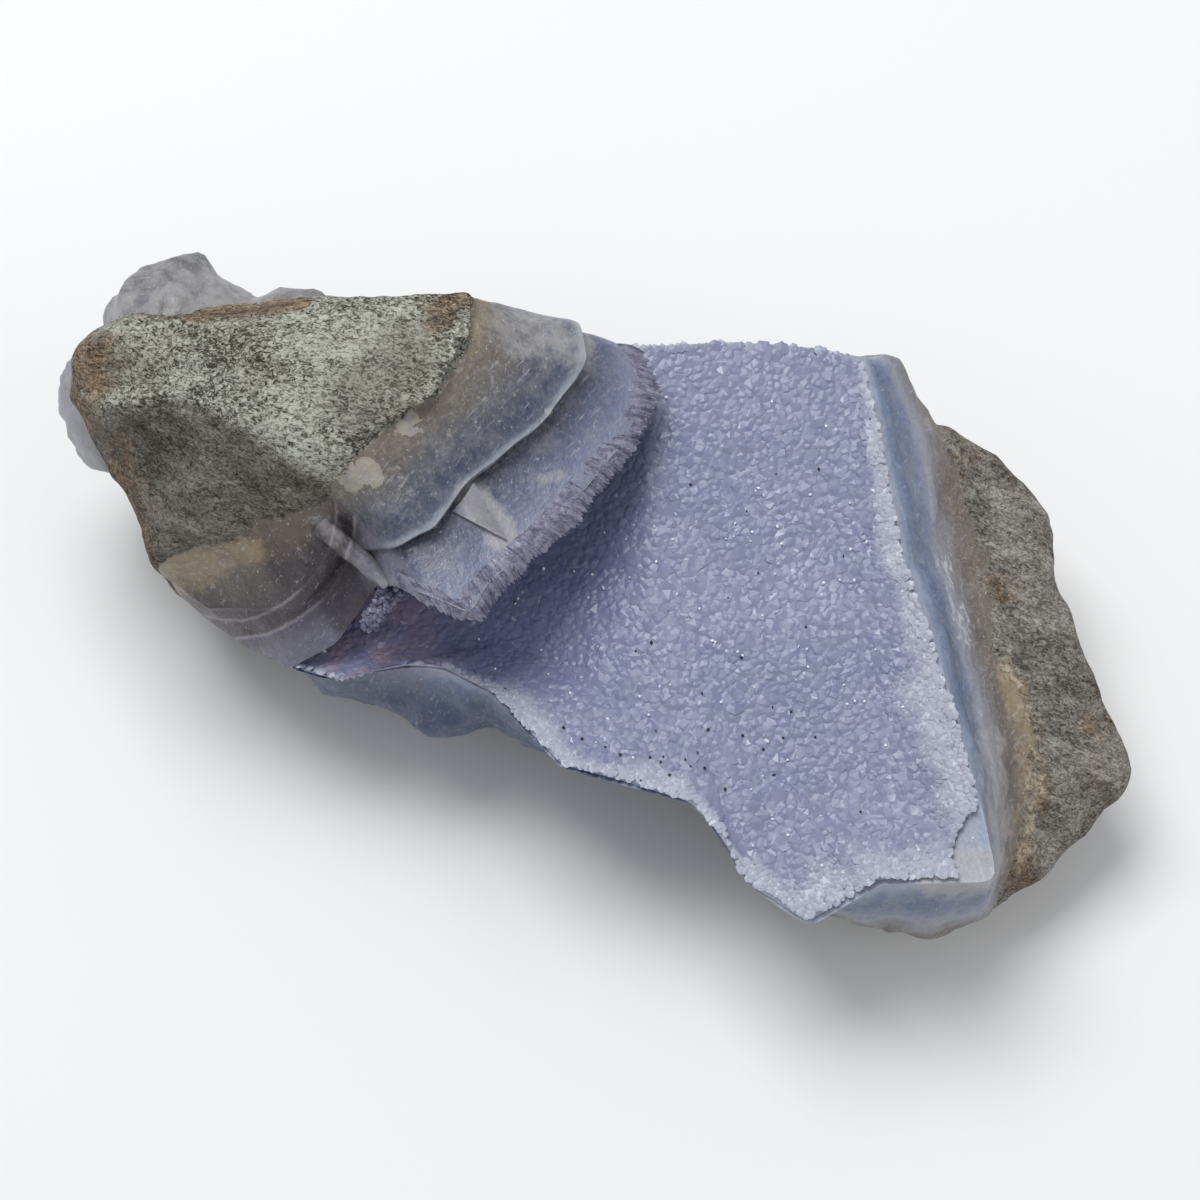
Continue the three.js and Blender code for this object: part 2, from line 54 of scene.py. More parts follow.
class Node(Enum):
    """The solids that the pieces of this scene stand for."""

    STONE = "geode_stone"
    CRUST = "crystal_crust"


class Slot(Enum):
    """The record's material slots."""

    STONE = "rock_and_agate"
    CRUST = "quartz_druse"


# Fields of noise, worked out for whole arrays of points


CELL_PRIMES = (73856093, 19349663, 83492791)  # they mix a cell's three numbers
SEED_PRIME = 2654435761
SPREADS = ((15, 2246822519), (13, 3266489917))  # shifts and factors that spread the bits of the mix
LOW_BITS = 0xFFFFFFFF
KEPT_BITS = 0xFFFF
LOOSE_MIDDLE = 0.45  # how far a chip's middle may lie from its cell's, as a share of the cell


def blend(first: Any, second: Any, share: Any) -> Any:
    """first * (1 - share) + second * share, for numbers or whole arrays."""
    return first * (1.0 - share) + second * share


def ease(t: np.ndarray) -> np.ndarray:
    """3t^2 - 2t^3, which is level at 0 and at 1."""
    return t * t * (3.0 - 2.0 * t)


def lattice(cell: np.ndarray, seed: int) -> np.ndarray:
    """A number from -1 to 1 for each whole-number cell: the low bits of a mixed product.

    Args:
        cell: Whole numbers, one row of three for each cell.
        seed: Which field of numbers.

    Returns:
        One number for each row.
    """
    mixed = np.bitwise_xor.reduce(cell * np.array(CELL_PRIMES), axis=-1)
    mixed = (mixed ^ (seed * SEED_PRIME)) & LOW_BITS
    for shift, factor in SPREADS:
        mixed = ((mixed ^ (mixed >> shift)) * factor) & LOW_BITS
    return ((mixed ^ (mixed >> 16)) & KEPT_BITS) * 2.0 / KEPT_BITS - 1.0


def swell(points: np.ndarray, wavelength: float, seed: int) -> np.ndarray:
    """Smooth noise: the eight corners of a cell, blended by 3t^2 - 2t^3 along each axis.

    Args:
        points: Places in mm.
        wavelength: The size of a cell in mm.
        seed: Which field of noise.

    Returns:
        A number from -1 to 1 for each point.
    """
    scaled = points / wavelength
    cell = np.floor(scaled).astype(np.int64)
    t = ease(scaled - cell)
    total = np.zeros(points.shape[:-1])
    for corner in np.ndindex(2, 2, 2):
        weight = np.prod(np.where(np.array(corner) == 1, t, 1.0 - t), axis=-1)
        total += weight * lattice(cell + np.array(corner), seed)
    return total


def fractal(
    points: np.ndarray, wavelength: float, octaves: int, seed: int, ridged: bool = False
) -> np.ndarray:
    """A sum of noises, each of half the wavelength and half the height of the one before.

    Args:
        points: Places in mm.
        wavelength: The largest wavelength in mm.
        octaves: How many noises are added.
        seed: Which field of noise.
        ridged: Whether each noise is folded into sharp ridges, 1 - 2|n|.

    Returns:
        A number of about -1 to 1 for each point.
    """
    total = np.zeros(points.shape[:-1])
    for octave in range(octaves):
        noise = swell(points, wavelength / 2**octave, seed + octave)
        total += (1.0 - 2.0 * np.abs(noise) if ridged else noise) / 2**octave
    return total / (2.0 - 0.5 ** (octaves - 1))


def scallops(points: np.ndarray, size: float, seed: int) -> np.ndarray:
    """Shell-like chips: the square of the distance to the nearest of many scattered middles.

    Args:
        points: Places in mm.
        size: The width of a chip in mm.
        seed: Which set of middles.

    Returns:
        0 at the middle of a chip and about 1 where chips meet.
    """
    scaled = points / size
    cell = np.floor(scaled).astype(np.int64)
    nearest = np.full(points.shape[:-1], np.inf)
    for step in np.ndindex(3, 3, 3):
        home = cell + np.array(step) - 1
        middle = home + 0.5 + LOOSE_MIDDLE * np.stack([lattice(home, seed + axis) for axis in range(3)], -1)
        nearest = np.minimum(nearest, np.sum((scaled - middle) ** 2, axis=-1))
    return nearest


def rise(x: np.ndarray, low: float, high: float) -> np.ndarray:
    """0 below `low`, 1 above `high`, and 3t^2 - 2t^3 between."""
    return ease(np.clip((x - low) / (high - low), 0.0, 1.0))


ROUGHNESS_WAVES = (15.0, 11.0, 8.3, 6.1, 4.7, 3.6)  # wavelengths of the broken rock's lumps, in mm
WAVE_PHASE = 2.4
GOLDEN_ANGLE = math.pi * (3.0 - math.sqrt(5.0))


def broken_lumps(points: np.ndarray) -> np.ndarray:
    """Lumps of broken rock: a sum of sine waves in directions spread evenly over a sphere."""
    total = np.zeros(points.shape[:-1])
    for i, wave in enumerate(ROUGHNESS_WAVES):
        up = 1.0 - (2 * i + 1) / len(ROUGHNESS_WAVES)
        out = math.sqrt(1.0 - up * up)
        turn = GOLDEN_ANGLE * i
        along = points @ np.array([out * math.cos(turn), out * math.sin(turn), up])
        total += wave / ROUGHNESS_WAVES[0] * np.sin(math.tau * along / wave + WAVE_PHASE * i)
    return total / 2.0


# The stone's lofts


@dataclass(frozen=True)
class Ring:
    """One closed ring of a loft, clockwise seen from above.

    `layer` says how deep in the agate it lies: 0 under the druse, 3 on the white line, 5 where the
    rock begins, and 7 well inside the rock. `outer` is the same on the loft's outer side.
    """

    name: str
    layer: float
    rough: float
    spacing: float
    points: Sequence[Sequence[float]]
    outer: float | None = None
    crisp: bool = False
    grain: float = 0.0


SLAB_AXIS = (5.0, 2.0)
SLAB_RINGS = (
    Ring("floor centre", 0.0, 0.0, 2.0, [[5, 2, 23.2]]),
    Ring("floor", 0.0, 0.05, 2.0, [
        [5, 18, 26.4], [17, 17, 26.8], [24, 6, 25.2], [28, -12, 23.2], [22, -21, 21.2], [9, -12, 21.8],
        [0, -8.5, 20.6], [-8, -3, 18.8], [-14, 4, 18.2], [-10, 13, 19], [-2, 18, 23.6],
    ]),
    Ring("rim of the crystal floor", 0.1, 0.15, 1.2, [
        [3.6, 26.8, 29], [12.3, 27.2, 29], [22.5, 26.6, 29], [26.9, 25.2, 29], [28.6, 16.5, 28],
        [30.5, 3.7, 26.5], [33.7, -6.8, 25.5], [36.2, -17.3, 25], [38.7, -29.4, 23.5], [27.2, -29.2, 22.5],
        [20.4, -32.8, 20], [14, -28.3, 20], [12.6, -24.8, 21], [8.9, -20.6, 21.5], [3.9, -19, 21.6],
        [-3.9, -16.6, 21.4], [-11, -8.5, 21.2], [-16, -5.8, 21.2], [-20.5, -5.6, 21.4], [-26.4, -6.9, 20.2],
        [-31, -4.8, 18.4], [-34.6, -0.6, 17.2], [-32, 12, 17], [-25, 20, 20], [-10, 25, 24],
    ], crisp=True),
    Ring("foot of the agate", 4.5, 0.35, 0.42, [
        [3, 27.5, 21], [12, 28, 21], [22, 27.6, 22], [31, 27.6, 26], [34.6, 22.3, 22], [36, 11.4, 20],
        [38.1, 0.6, 19], [40.3, -10.1, 18], [41.1, -18.3, 17], [40.4, -23.9, 15], [38.8, -28.3, 9],
        [32.6, -31, 10], [26.6, -31.2, 14], [21, -28, 13], [15.5, -23.8, 12], [13, -20.4, 12],
        [9, -15.6, 13], [3, -14, 13], [-5.5, -12.7, 16], [-10.1, -10.5, 16], [-12.1, -9.1, 17],
        [-17, -10, 14], [-20.4, -8.2, 14], [-27.6, -4.8, 14], [-34, 3, 14], [-33, 14, 14], [-12, 25, 16],
    ], grain=0.12),
    Ring("edge of the rock", 7.0, 0.7, 0.5, [
        [4, 27, 11], [20, 27, 11], [30, 25, 14], [36, 22.2, 19], [42, 20, 18.5], [47.4, 14.2, 17.5],
        [48.2, 5.2, 17], [51.5, -4.6, 16], [55, -11.4, 14], [54.4, -15.4, 13], [46.8, -21.8, 10],
        [40.4, -26.3, 8], [33, -27.4, 5.5], [24, -23.5, 5.5], [15.5, -18, 5], [9, -11, 5], [0, -9, 6],
        [-10, -6.5, 8], [-20, -4, 7], [-28, -1, 7], [-33, 6, 7], [-32, 14, 7], [-12, 25, 9],
    ], grain=0.4),
    Ring("foot of the rock", 7.0, 0.5, 0.9, [
        [6, 22, 1.6], [26, 21, 2], [40, 14, 3.5], [45, 4, 3.5], [47, -8, 4], [44, -17, 3], [36, -20, 1.8],
        [26, -15, 1.4], [14, -8, 1.2], [0, -4, 1.2], [-15, -1, 1.4], [-28, 3, 1.5], [-30, 14, 1.5],
        [-12, 21, 1.5],
    ], grain=0.35),
    Ring("flat spot", 7.0, 0.0, 1.5, [
        [6, 18, -1], [24, 17, -1], [35, 10, -1], [38, -4, -1], [34, -13, -1], [14, -5, -1], [-14, 2, -1],
        [-25, 6, -1], [-25, 13, -1], [-10, 18, -1],
    ]),
    Ring("under the centre", 7.0, 0.0, 4.0, [[5, 2, -1]]),
)

BLOCK_AXIS = (-30.0, 16.0)
BLOCK_RINGS = (
    Ring("top", 7.0, 0.0, 0.6, [[-30, 16, 45.4]], grain=0.3),
    Ring("shoulder of the rock", 7.0, 0.35, 0.6, [
        [-28.5, 23.8, 43], [-19.6, 24.4, 44], [-12.8, 25, 43], [-12.7, 20.2, 44], [-16.4, 12.4, 44],
        [-24.5, 8.6, 43], [-33.9, 10.8, 42], [-42.2, 14.4, 39], [-48.4, 15.1, 37], [-52.3, 17.9, 35],
        [-51.6, 21.3, 38], [-44.4, 23.9, 41], [-36.2, 22.1, 43],
    ], grain=0.35),
    Ring("edge of the rock", 5.0, 0.5, 0.5, [
        [-28, 26.5, 38], [-19, 26.5, 39], [-12.3, 24.7, 42.6], [-14.1, 18.5, 43], [-16.5, 14.1, 43],
        [-20.3, 10.8, 43], [-24.5, 6.9, 41], [-29.2, 4.1, 36], [-34.3, 4.5, 33], [-39.7, 4.2, 30],
        [-44.8, 3, 27], [-48.5, 11.9, 28], [-51.6, 16.3, 28], [-54, 20, 30], [-52.5, 23, 35],
        [-47.8, 25.2, 37], [-38, 27, 38],
    ], outer=7.0, grain=0.3),
    Ring("edge of the outer agate layer", 3.05, 0.2, 0.45, [
        [-20, 27.5, 34], [-9, 26.8, 37], [-2, 24.7, 37.8], [-1.4, 20.3, 37.8], [-5.4, 13.6, 37.8],
        [-12.7, 7, 37.8], [-16.1, 2, 37.8], [-19.5, 0.4, 37], [-24.8, 3.1, 30], [-29.8, -1.5, 27],
        [-39.6, 0.2, 22], [-45.2, 4.9, 22], [-47.8, 12.6, 22], [-50.4, 18, 22], [-54.8, 22.6, 23],
        [-52.5, 27.5, 25], [-44, 30.5, 27], [-33, 28.5, 29],
    ], outer=7.0, crisp=True, grain=0.1),
    Ring("foot of the ledge", 2.8, 0.15, 0.45, [
        [-20, 27.6, 32.5], [-9, 26.9, 35.5], [-2.3, 24.6, 36.4], [-1.9, 20.2, 36.2], [-5.8, 13.6, 36.2],
        [-13, 7.2, 36.2], [-16.4, 2.4, 36.2], [-19.8, 0.9, 35.6], [-24.7, 3.4, 28.4], [-29.7, -1.2, 25.4],
        [-39.5, 0.8, 20.4], [-45.1, 5.7, 20.4], [-47.8, 13.3, 20.5], [-50, 18.4, 20.5], [-54.6, 23.2, 21.5],
        [-52.5, 27.6, 23.5], [-44, 30.6, 25.5], [-33, 28.6, 27.5],
    ], outer=7.0, crisp=True, grain=0.1),
    Ring("lip", 0.4, 0.2, 0.45, [
        [-20, 28, 27], [-6, 27, 31.5], [3.5, 24.9, 32.5], [4.8, 19.5, 33], [2.5, 13.7, 33.2], [0, 10.2, 33.5],
        [-3.9, 4.7, 34], [-6.8, 1.4, 34.4], [-10.8, -2.9, 34.8], [-12.6, -6, 35], [-15.6, -4.7, 35],
        [-19, -2.9, 34.6], [-22.1, 0.8, 27], [-26.3, -3.3, 22.4], [-31.4, -5, 19], [-36.4, -1.2, 16.5],
        [-44, 6, 14], [-47.8, 12.9, 15], [-49.9, 17.8, 16], [-54.2, 24, 18], [-52.5, 28, 18], [-44, 31, 20],
        [-33, 29.3, 22],
    ], outer=7.0, crisp=True, grain=0.1),
    Ring("underside of the lip", 0.1, 0.1, 0.8, [
        [-20, 28, 25], [-5, 26.4, 29.6], [2.2, 24.4, 30.6], [3.6, 19.6, 31], [1.5, 14.2, 31.2],
        [-0.9, 10.9, 31.4], [-4.7, 5.6, 31.9], [-7.5, 2.4, 32.3], [-11.4, -1.8, 32.6], [-13.1, -4.6, 32.8],
        [-15.8, -3.6, 32.8], [-18.8, -1.8, 32.2], [-22.4, 1.6, 25], [-26.4, -2.6, 20], [-31.4, -3.2, 16],
        [-36.4, 0.6, 13], [-43.5, 7.6, 12], [-47.8, 13.8, 13], [-49.9, 18.6, 14], [-53.6, 24.4, 15.6],
        [-52, 28, 15.6], [-44, 30.8, 17.6], [-33, 29.2, 19.6],
    ], outer=7.0, grain=0.1),
    Ring("roof of the hollow", 0.1, 0.1, 1.2, [
        [-20, 27.6, 18], [-6, 25, 26], [-3.5, 21, 30.2], [-6, 15.6, 30.4], [-8.5, 11.6, 30.4], [-12, 7, 30.6],
        [-15, 4.2, 30.8], [-18, 3, 30.8], [-21, 4, 28], [-24, 4.5, 20.5], [-28, 2, 14], [-35.5, 3, 10],
        [-42.7, 7.8, 9.5], [-47.4, 13.6, 10], [-49.5, 18.4, 11], [-52.4, 23.6, 12], [-51, 27.5, 12],
        [-43.5, 30.2, 13], [-33, 28.8, 14],
    ], outer=7.0, grain=0.25),
    Ring("back of the hollow", 0.1, 0.2, 1.2, [
        [-20, 26.4, 10], [-9, 23.6, 15], [-9, 20.5, 23], [-12, 16.4, 21.5], [-15.5, 13, 20.5],
        [-18.5, 10.4, 19.8], [-21.5, 9, 19.4], [-24.5, 7.8, 19], [-28, 4.5, 12], [-35, 4.5, 6],
        [-41.5, 6.5, 5.5], [-46, 12.5, 6], [-48, 18, 6.5], [-49, 23, 7], [-47, 26.5, 7], [-41, 28, 7],
        [-33, 27, 8],
    ], outer=7.0, grain=0.3),
    Ring("foot of the block", 7.0, 0.3, 1.2, [
        [-20, 22, 2], [-15, 19, 3], [-18, 14, 3], [-26, 8, 2.5], [-34, 7, 1.6], [-39, 10, 1.8],
        [-42, 16, 2.2], [-41, 22, 2.4], [-33, 23, 2],
    ], grain=0.3),
    Ring("under the block", 7.0, 0.0, 4.0, [[-30, 16, 1]]),
)


def clockwise(steps: int) -> np.ndarray:
    """Evenly spaced angles of one turn clockwise, in radians."""
    return -math.tau * np.arange(steps) / steps


def on_ring(points: Sequence[Sequence[float]], axis: Sequence[float], angles: np.ndarray) -> np.ndarray:
    """Where rays from an axis meet a ring: straight sides, cut in the share of the ends' distances.

    Args:
        points: The ring's corners, clockwise.
        axis: The x and y that the rays start from.
        angles: The rays' angles in radians.

    Returns:
        One place in mm for each ray.
    """
    corners = np.asarray(points, float)
    if len(corners) == 1:
        return np.repeat(corners, len(angles), axis=0)
    offset = corners[:, :2] - np.asarray(axis)
    turned = np.arctan2(offset[:, 1], offset[:, 0])
    order = np.argsort(turned)
    corners, offset, turned = corners[order], offset[order], turned[order]
    wrapped = (angles + math.pi) % (2.0 * math.pi) - math.pi
    after = np.searchsorted(turned, wrapped) % len(corners)
    before = after - 1
    ray = np.stack([np.cos(angles), np.sin(angles)], 1)

    def aside(p: np.ndarray) -> np.ndarray:
        """The distance of points to the left of their rays."""
        return p[:, 1] * ray[:, 0] - p[:, 0] * ray[:, 1]

    low, high = aside(offset[before]), aside(offset[after])
    return blend(corners[before], corners[after], (low / (low - high))[:, None])


def along_rings(
    rings: Sequence[Ring], axis: Sequence[float], places: np.ndarray
) -> tuple[np.ndarray, np.ndarray]:
    """The height of a loft's rings over places, straight between two rings along the ray from the axis.

    Args:
        rings: Rings from the axis outwards.
        axis: The loft's axis.
        places: The x and y of each place in mm.

    Returns:
        The heights, and how far out each place is: 0 at the first ring and 1 at the last.
    """
    offset = places - np.asarray(axis)
    angles = np.arctan2(offset[:, 1], offset[:, 0])
    reach = np.hypot(offset[:, 0], offset[:, 1])
    stops = np.stack([on_ring(ring.points, axis, angles) for ring in rings], 1)
    far = np.hypot(stops[..., 0] - axis[0], stops[..., 1] - axis[1])
    level = stops[..., 2]
    height = level[:, 0]
    for k in range(len(rings) - 1):
        share = (reach - far[:, k]) / (far[:, k + 1] - far[:, k])
        height = np.where(share >= 0.0, level[:, k] + share * (level[:, k + 1] - level[:, k]), height)
    return height, (reach - far[:, 0]) / (far[:, -1] - far[:, 0])


def unit(vectors: np.ndarray) -> np.ndarray:
    """Vectors of length 1, or 0 where a vector has no length."""
    return vectors / np.maximum(np.linalg.norm(vectors, axis=-1, keepdims=True), 1e-12)


def normals_of(grid: np.ndarray) -> np.ndarray:
    """Outward normals of a loft's grid: the cross product of its steps down and around."""
    around = np.roll(grid, -1, axis=1) - np.roll(grid, 1, axis=1)
    return unit(np.cross(around, np.gradient(grid, axis=0)))


@dataclass
class Shape:
    """A mesh in the making: points in mm, faces, and numbers kept for each point or face."""

    points: np.ndarray
    faces: list[np.ndarray]
    numbers: dict[str, np.ndarray] = field(default_factory=dict)
    face_numbers: dict[str, np.ndarray] = field(default_factory=dict)

    def outward(self) -> Shape:
        """Turns the faces round where they point inwards, which a negative volume tells.

        Returns:
            The shape itself.
        """
        volume = 0.0
        for face in self.faces:
            for k in range(1, face.shape[1] - 1):
                a, b, c = (self.points[face[:, i]] for i in (0, k, k + 1))
                volume += float(np.sum(a * np.cross(b, c)))
        if volume < 0.0:
            self.faces = [face[:, ::-1] for face in self.faces]
        return self

    def to_object(self, name: str) -> bpy.types.Object:
        """Makes the Blender object, in metres, with its place in its mesh.

        Args:
            name: The object's and mesh's name.

        Returns:
            The object, linked to the scene.
        """
        corners = np.concatenate([f.ravel() for f in self.faces]).astype(np.int32)
        sizes = np.concatenate([np.full(len(f), f.shape[1]) for f in self.faces])
        starts = (np.cumsum(sizes) - sizes).astype(np.int32)
        mesh = bpy.data.meshes.new(name)
        mesh.vertices.add(len(self.points))
        mesh.vertices.foreach_set("co", ((self.points - CENTRE_ON_BASE) * MM).astype(np.float32).ravel())
        mesh.loops.add(len(corners))
        mesh.loops.foreach_set("vertex_index", corners)
        mesh.polygons.add(len(sizes))
        mesh.polygons.foreach_set("loop_start", starts)
        mesh.update(calc_edges=True)
        for domain, numbers in (("POINT", self.numbers), ("FACE", self.face_numbers)):
            for key, values in numbers.items():
                mesh.attributes.new(key, "FLOAT", domain).data.foreach_set("value", values.astype(np.float32))
        mesh.validate()
        mesh.shade_flat()
        made = bpy.data.objects.new(name, mesh)
        bpy.context.scene.collection.objects.link(made)
        return made


@dataclass
class Loft:
    """A closed loft through rings around an upright axis."""

    name: str
    axis: Sequence[float]
    rings: Sequence[Ring]
    steps: int
    hollow: tuple[float, float] | None = None
    hollow_soft: float = 0.08
    corner_passes: int = 3
    crease_passes: int = 10
    usual_gap: float = 85.0
    seed: int = 1
    kind: float = 0.0
    ridge_size: float = 5.0
    ridge_share: float = 0.9
    fine_size: float = 1.6
    fine_share: float = 0.45

    def inside_hollow(self, angles: np.ndarray) -> np.ndarray:
        """1 for the angles that look into the hollow, 0 for the outer side, smooth between."""
        if self.hollow is None:
            return np.ones(len(angles))
        middle = math.radians(sum(self.hollow) / 2.0)
        half = math.radians(self.hollow[1] - self.hollow[0]) / 2.0
        turn = np.abs((angles - middle + math.pi) % (2.0 * math.pi) - math.pi)
        return 1.0 - rise(turn, half - self.hollow_soft, half + self.hollow_soft)

    def build(self) -> Shape:
        """Works out the grid of the loft, rounds its creases and roughens it along its normals.

        Returns:
            The closed shape, with `layer`, `kind` (1 on the slab) and `valid` for each point.
        """
        angles = clockwise(self.steps)
        open_side = self.inside_hollow(angles)
        rows, crisps = [], []
        before: tuple[Any, ...] | None = None
        for ring in self.rings:
            corners = on_ring(ring.points, self.axis, angles)
            if len(ring.points) > 1:
                for _ in range(self.corner_passes):
                    corners = (np.roll(corners, 1, 0) + 2.0 * corners + np.roll(corners, -1, 0)) / 4.0
            outer = ring.layer if ring.outer is None else ring.outer
            here = (corners, blend(outer, ring.layer, open_side), ring.rough, ring.grain)
            count = 1
            if before is not None:
                gaps = np.linalg.norm(corners - before[0], axis=1)
                count = max(1, math.ceil(float(np.percentile(gaps, self.usual_gap)) / ring.spacing))
            for share in np.arange(1, count + 1) / count:
                rows.append([blend(a, b, share) for a, b in zip(before or here, here)])
                crisps.append(ring.crisp and share == 1.0)
            before = here
        grid, layers, roughs, grains = (np.stack(column) for column in zip(*rows))
        loose = np.where(np.array(crisps), 0.0, 1.0)[:, None, None]
        loose[0] = loose[-1] = 0.0
        for _ in range(self.crease_passes):
            average = grid.copy()
            average[1:-1] = (grid[:-2] + 2.0 * grid[1:-1] + grid[2:]) / 4.0
            grid = grid + loose * (average - grid)
        return self.close(self.roughen(grid, roughs, grains), layers)

    def roughen(self, grid: np.ndarray, rough: np.ndarray, grain: np.ndarray) -> np.ndarray:
        """Moves the grid along its normals: rough * lumps + grain * (ridges + fine noise).

        Args:
            grid: The loft's points.
            rough: The height of the large lumps in mm, one for each row.
            grain: The height of the fine relief in mm, one for each row.

        Returns:
            The moved grid.
        """
        ridges = fractal(grid, self.ridge_size, 4, self.seed + 10, ridged=True)
        fine = fractal(grid, self.fine_size, 2, self.seed + 20)
        relief = self.ridge_share * ridges + self.fine_share * fine
        out = rough[:, None] * broken_lumps(grid) + grain[:, None] * relief
        return grid + out[..., None] * normals_of(grid)

    def close(self, grid: np.ndarray, layer: np.ndarray) -> Shape:
        """Joins the grid's rows into quads and its two ends into fans.

        Args:
            grid: The loft's points, whose first and last rows are one point each.
            layer: The agate layer at each point.

        Returns:
            The closed shape.
        """
        inner = grid[1:-1]
        count, steps = inner.shape[:2]
        points = np.concatenate([grid[:1, 0], inner.reshape(-1, 3), grid[-1:, 0]])
        layers = np.concatenate([layer[:1, 0], layer[1:-1].ravel(), layer[-1:, 0]])
        index = 1 + np.arange(count * steps).reshape(count, steps)
        after = np.roll(index, -1, axis=1)
        quads = np.stack([index[:-1], after[:-1], after[1:], index[1:]], -1).reshape(-1, 4)
        top = np.stack([np.zeros(steps, int), after[0], index[0]], -1)
        last = np.full(steps, len(points) - 1)
        bottom = np.stack([last, index[-1], after[-1]], -1)
        kinds = np.full(len(points), self.kind)
        numbers = {"layer": layers, "kind": kinds, "valid": np.ones(len(points))}
        return Shape(points, [top, quads, bottom], numbers)


@dataclass(frozen=True)
class Lump:
    """A rounded lump of chalcedony: an ellipsoid turned about the upright, roughened."""

    name: str
    at: tuple[float, float, float]
    half: tuple[float, float, float]
    turn: float
    layer: float
    rough: float = 0.8
    grain: float = 0.55
    chips: Sequence[tuple[float, float, int]] = ((1.1, 6.0, 91), (0.5, 2.4, 95))
    steps: int = 88

    def build(self) -> Shape:
        """Ellipsoid: half sizes times (sin v cos u, sin v sin u, cos v), then lumps and chips.

        Returns:
            The closed shape.
        """
        rows = self.steps // 2
        v = np.pi * np.arange(rows + 1)[:, None] / rows
        u = clockwise(self.steps)[None]
        ball = np.stack(
            np.broadcast_arrays(np.sin(v) * np.cos(u), np.sin(v) * np.sin(u), np.cos(v) + 0.0 * u), -1
        )
        x, y, z = np.moveaxis(ball * np.array(self.half), -1, 0)
        cos, sin = math.cos(self.turn), math.sin(self.turn)
        grid = np.stack([x * cos - y * sin, x * sin + y * cos, z], -1) + np.array(self.at)
        loft = Loft(self.name, self.at[:2], (), self.steps)
        rough, grain = (np.full(rows + 1, height) for height in (self.rough, self.grain))
        grid[1:-1] = loft.roughen(grid, rough, grain)[1:-1]
        chips = sum(deep * (scallops(grid, size, seed) - 0.3) for deep, size, seed in self.chips)
        grid[1:-1] += (chips[..., None] * normals_of(grid))[1:-1]
        return loft.close(grid, np.full(grid.shape[:2], self.layer))


@dataclass(frozen=True)
class Rod:
    """A rod of chalcedony between two points, uneven along its length."""

    name: str
    start: tuple[float, float, float]
    end: tuple[float, float, float]
    start_radius: float
    end_radius: float
    layer: float
    steps: int = 28
    ridge: float = 0.12
    knot: float = 0.06
    blunt: float = 0.7

    def build(self) -> Shape:
        """Circles of radius r(t) * (1 + ridges) about the line, drawn in to a point at both ends.

        Returns:
            The closed shape.
        """
        start, end = np.array(self.start), np.array(self.end)
        along = unit(end - start)
        side = unit(np.cross(along, UP))
        up = np.cross(side, along)
        t = np.concatenate([[0.0, 0.0, 0.02], np.linspace(0.06, 0.94, 24), [0.98, 1.0, 1.0]])[:, None]
        u = math.tau * np.arange(self.steps)[None, :] / self.steps
        radius = blend(self.start_radius, self.end_radius, t)
        ridges = self.ridge * np.cos(3.0 * u + 4.0 * t) + self.knot * np.sin(19.0 * t + u)
        radius = radius * (1.0 + ridges)
        radius[[0, -1]] = 0.0
        radius[[1, -2]] *= self.blunt
        grid = start + (end - start) * t[..., None] + radius[..., None] * (
            np.cos(u)[..., None] * side + np.sin(u)[..., None] * up
        )
        loft = Loft(self.name, self.start[:2], (), self.steps)
        return loft.close(grid, np.full(grid.shape[:2], self.layer))


@dataclass(frozen=True)
class Fin:
    """A splinter that leans on the ledge: a sharp ridge, a hollow slope on its left, a tip below."""

    name: str
    high: tuple[float, float, float]
    foot: tuple[float, float, float]
    tip: tuple[float, float, float]
    layer: float
    rows: int = 16
    across: int = 12
    deep: float = 1.8
    bulge: float = 0.5
    hollowness: float = 1.7

    def build(self) -> Shape:
        """Rows of points from the ridge down to the foot, and back underneath.

        At a share s of the way to the tip the ridge is high + (tip - high) s + bulge sin(pi s), and
        a row falls from it to the foot by (1 - t) to the power of `hollowness`.

        Returns:
            The closed shape.
        """
        s = np.linspace(0.0, 1.0, self.rows)[:, None, None]
        t = np.linspace(0.0, 1.0, self.across)[None, :, None]
        high, foot, tip = (np.array(p) for p in (self.high, self.foot, self.tip))
        ridge = high + (tip - high) * s + UP * self.bulge * np.sin(np.pi * s)
        base = foot + (tip - foot) * s
        fall = (1.0 - t) ** self.hollowness
        flat = ridge[..., :2] + (base - ridge)[..., :2] * t
        top = np.concatenate([flat, base[..., 2:] + (ridge - base)[..., 2:] * fall], -1)
        under = top[:, [-1, 0]] - UP * self.deep
        ring = np.concatenate([top, under], 1)
        ends = [np.repeat(row.mean(axis=0)[None, None], ring.shape[1], 1) for row in (ring[0], ring[-1])]
        grid = np.concatenate([ends[0], ring, ends[1]])
        loft = Loft(self.name, self.high[:2], (), ring.shape[1])
        return loft.close(grid, np.full(grid.shape[:2], self.layer))


FLOOR_RINGS = SLAB_RINGS[:3]  # from the middle of the floor of crystals out to its rim
LIP_TOP, LIP, ROOF, HOLLOW_BACK = BLOCK_RINGS[5:9]
ELEVATION = math.radians(65.0)  # how high the piece is seen from
SIGHT = np.array([0.0, -math.cos(ELEVATION), math.sin(ELEVATION)])
SIGHT_UP = np.cross([1.0, 0.0, 0.0], -SIGHT)


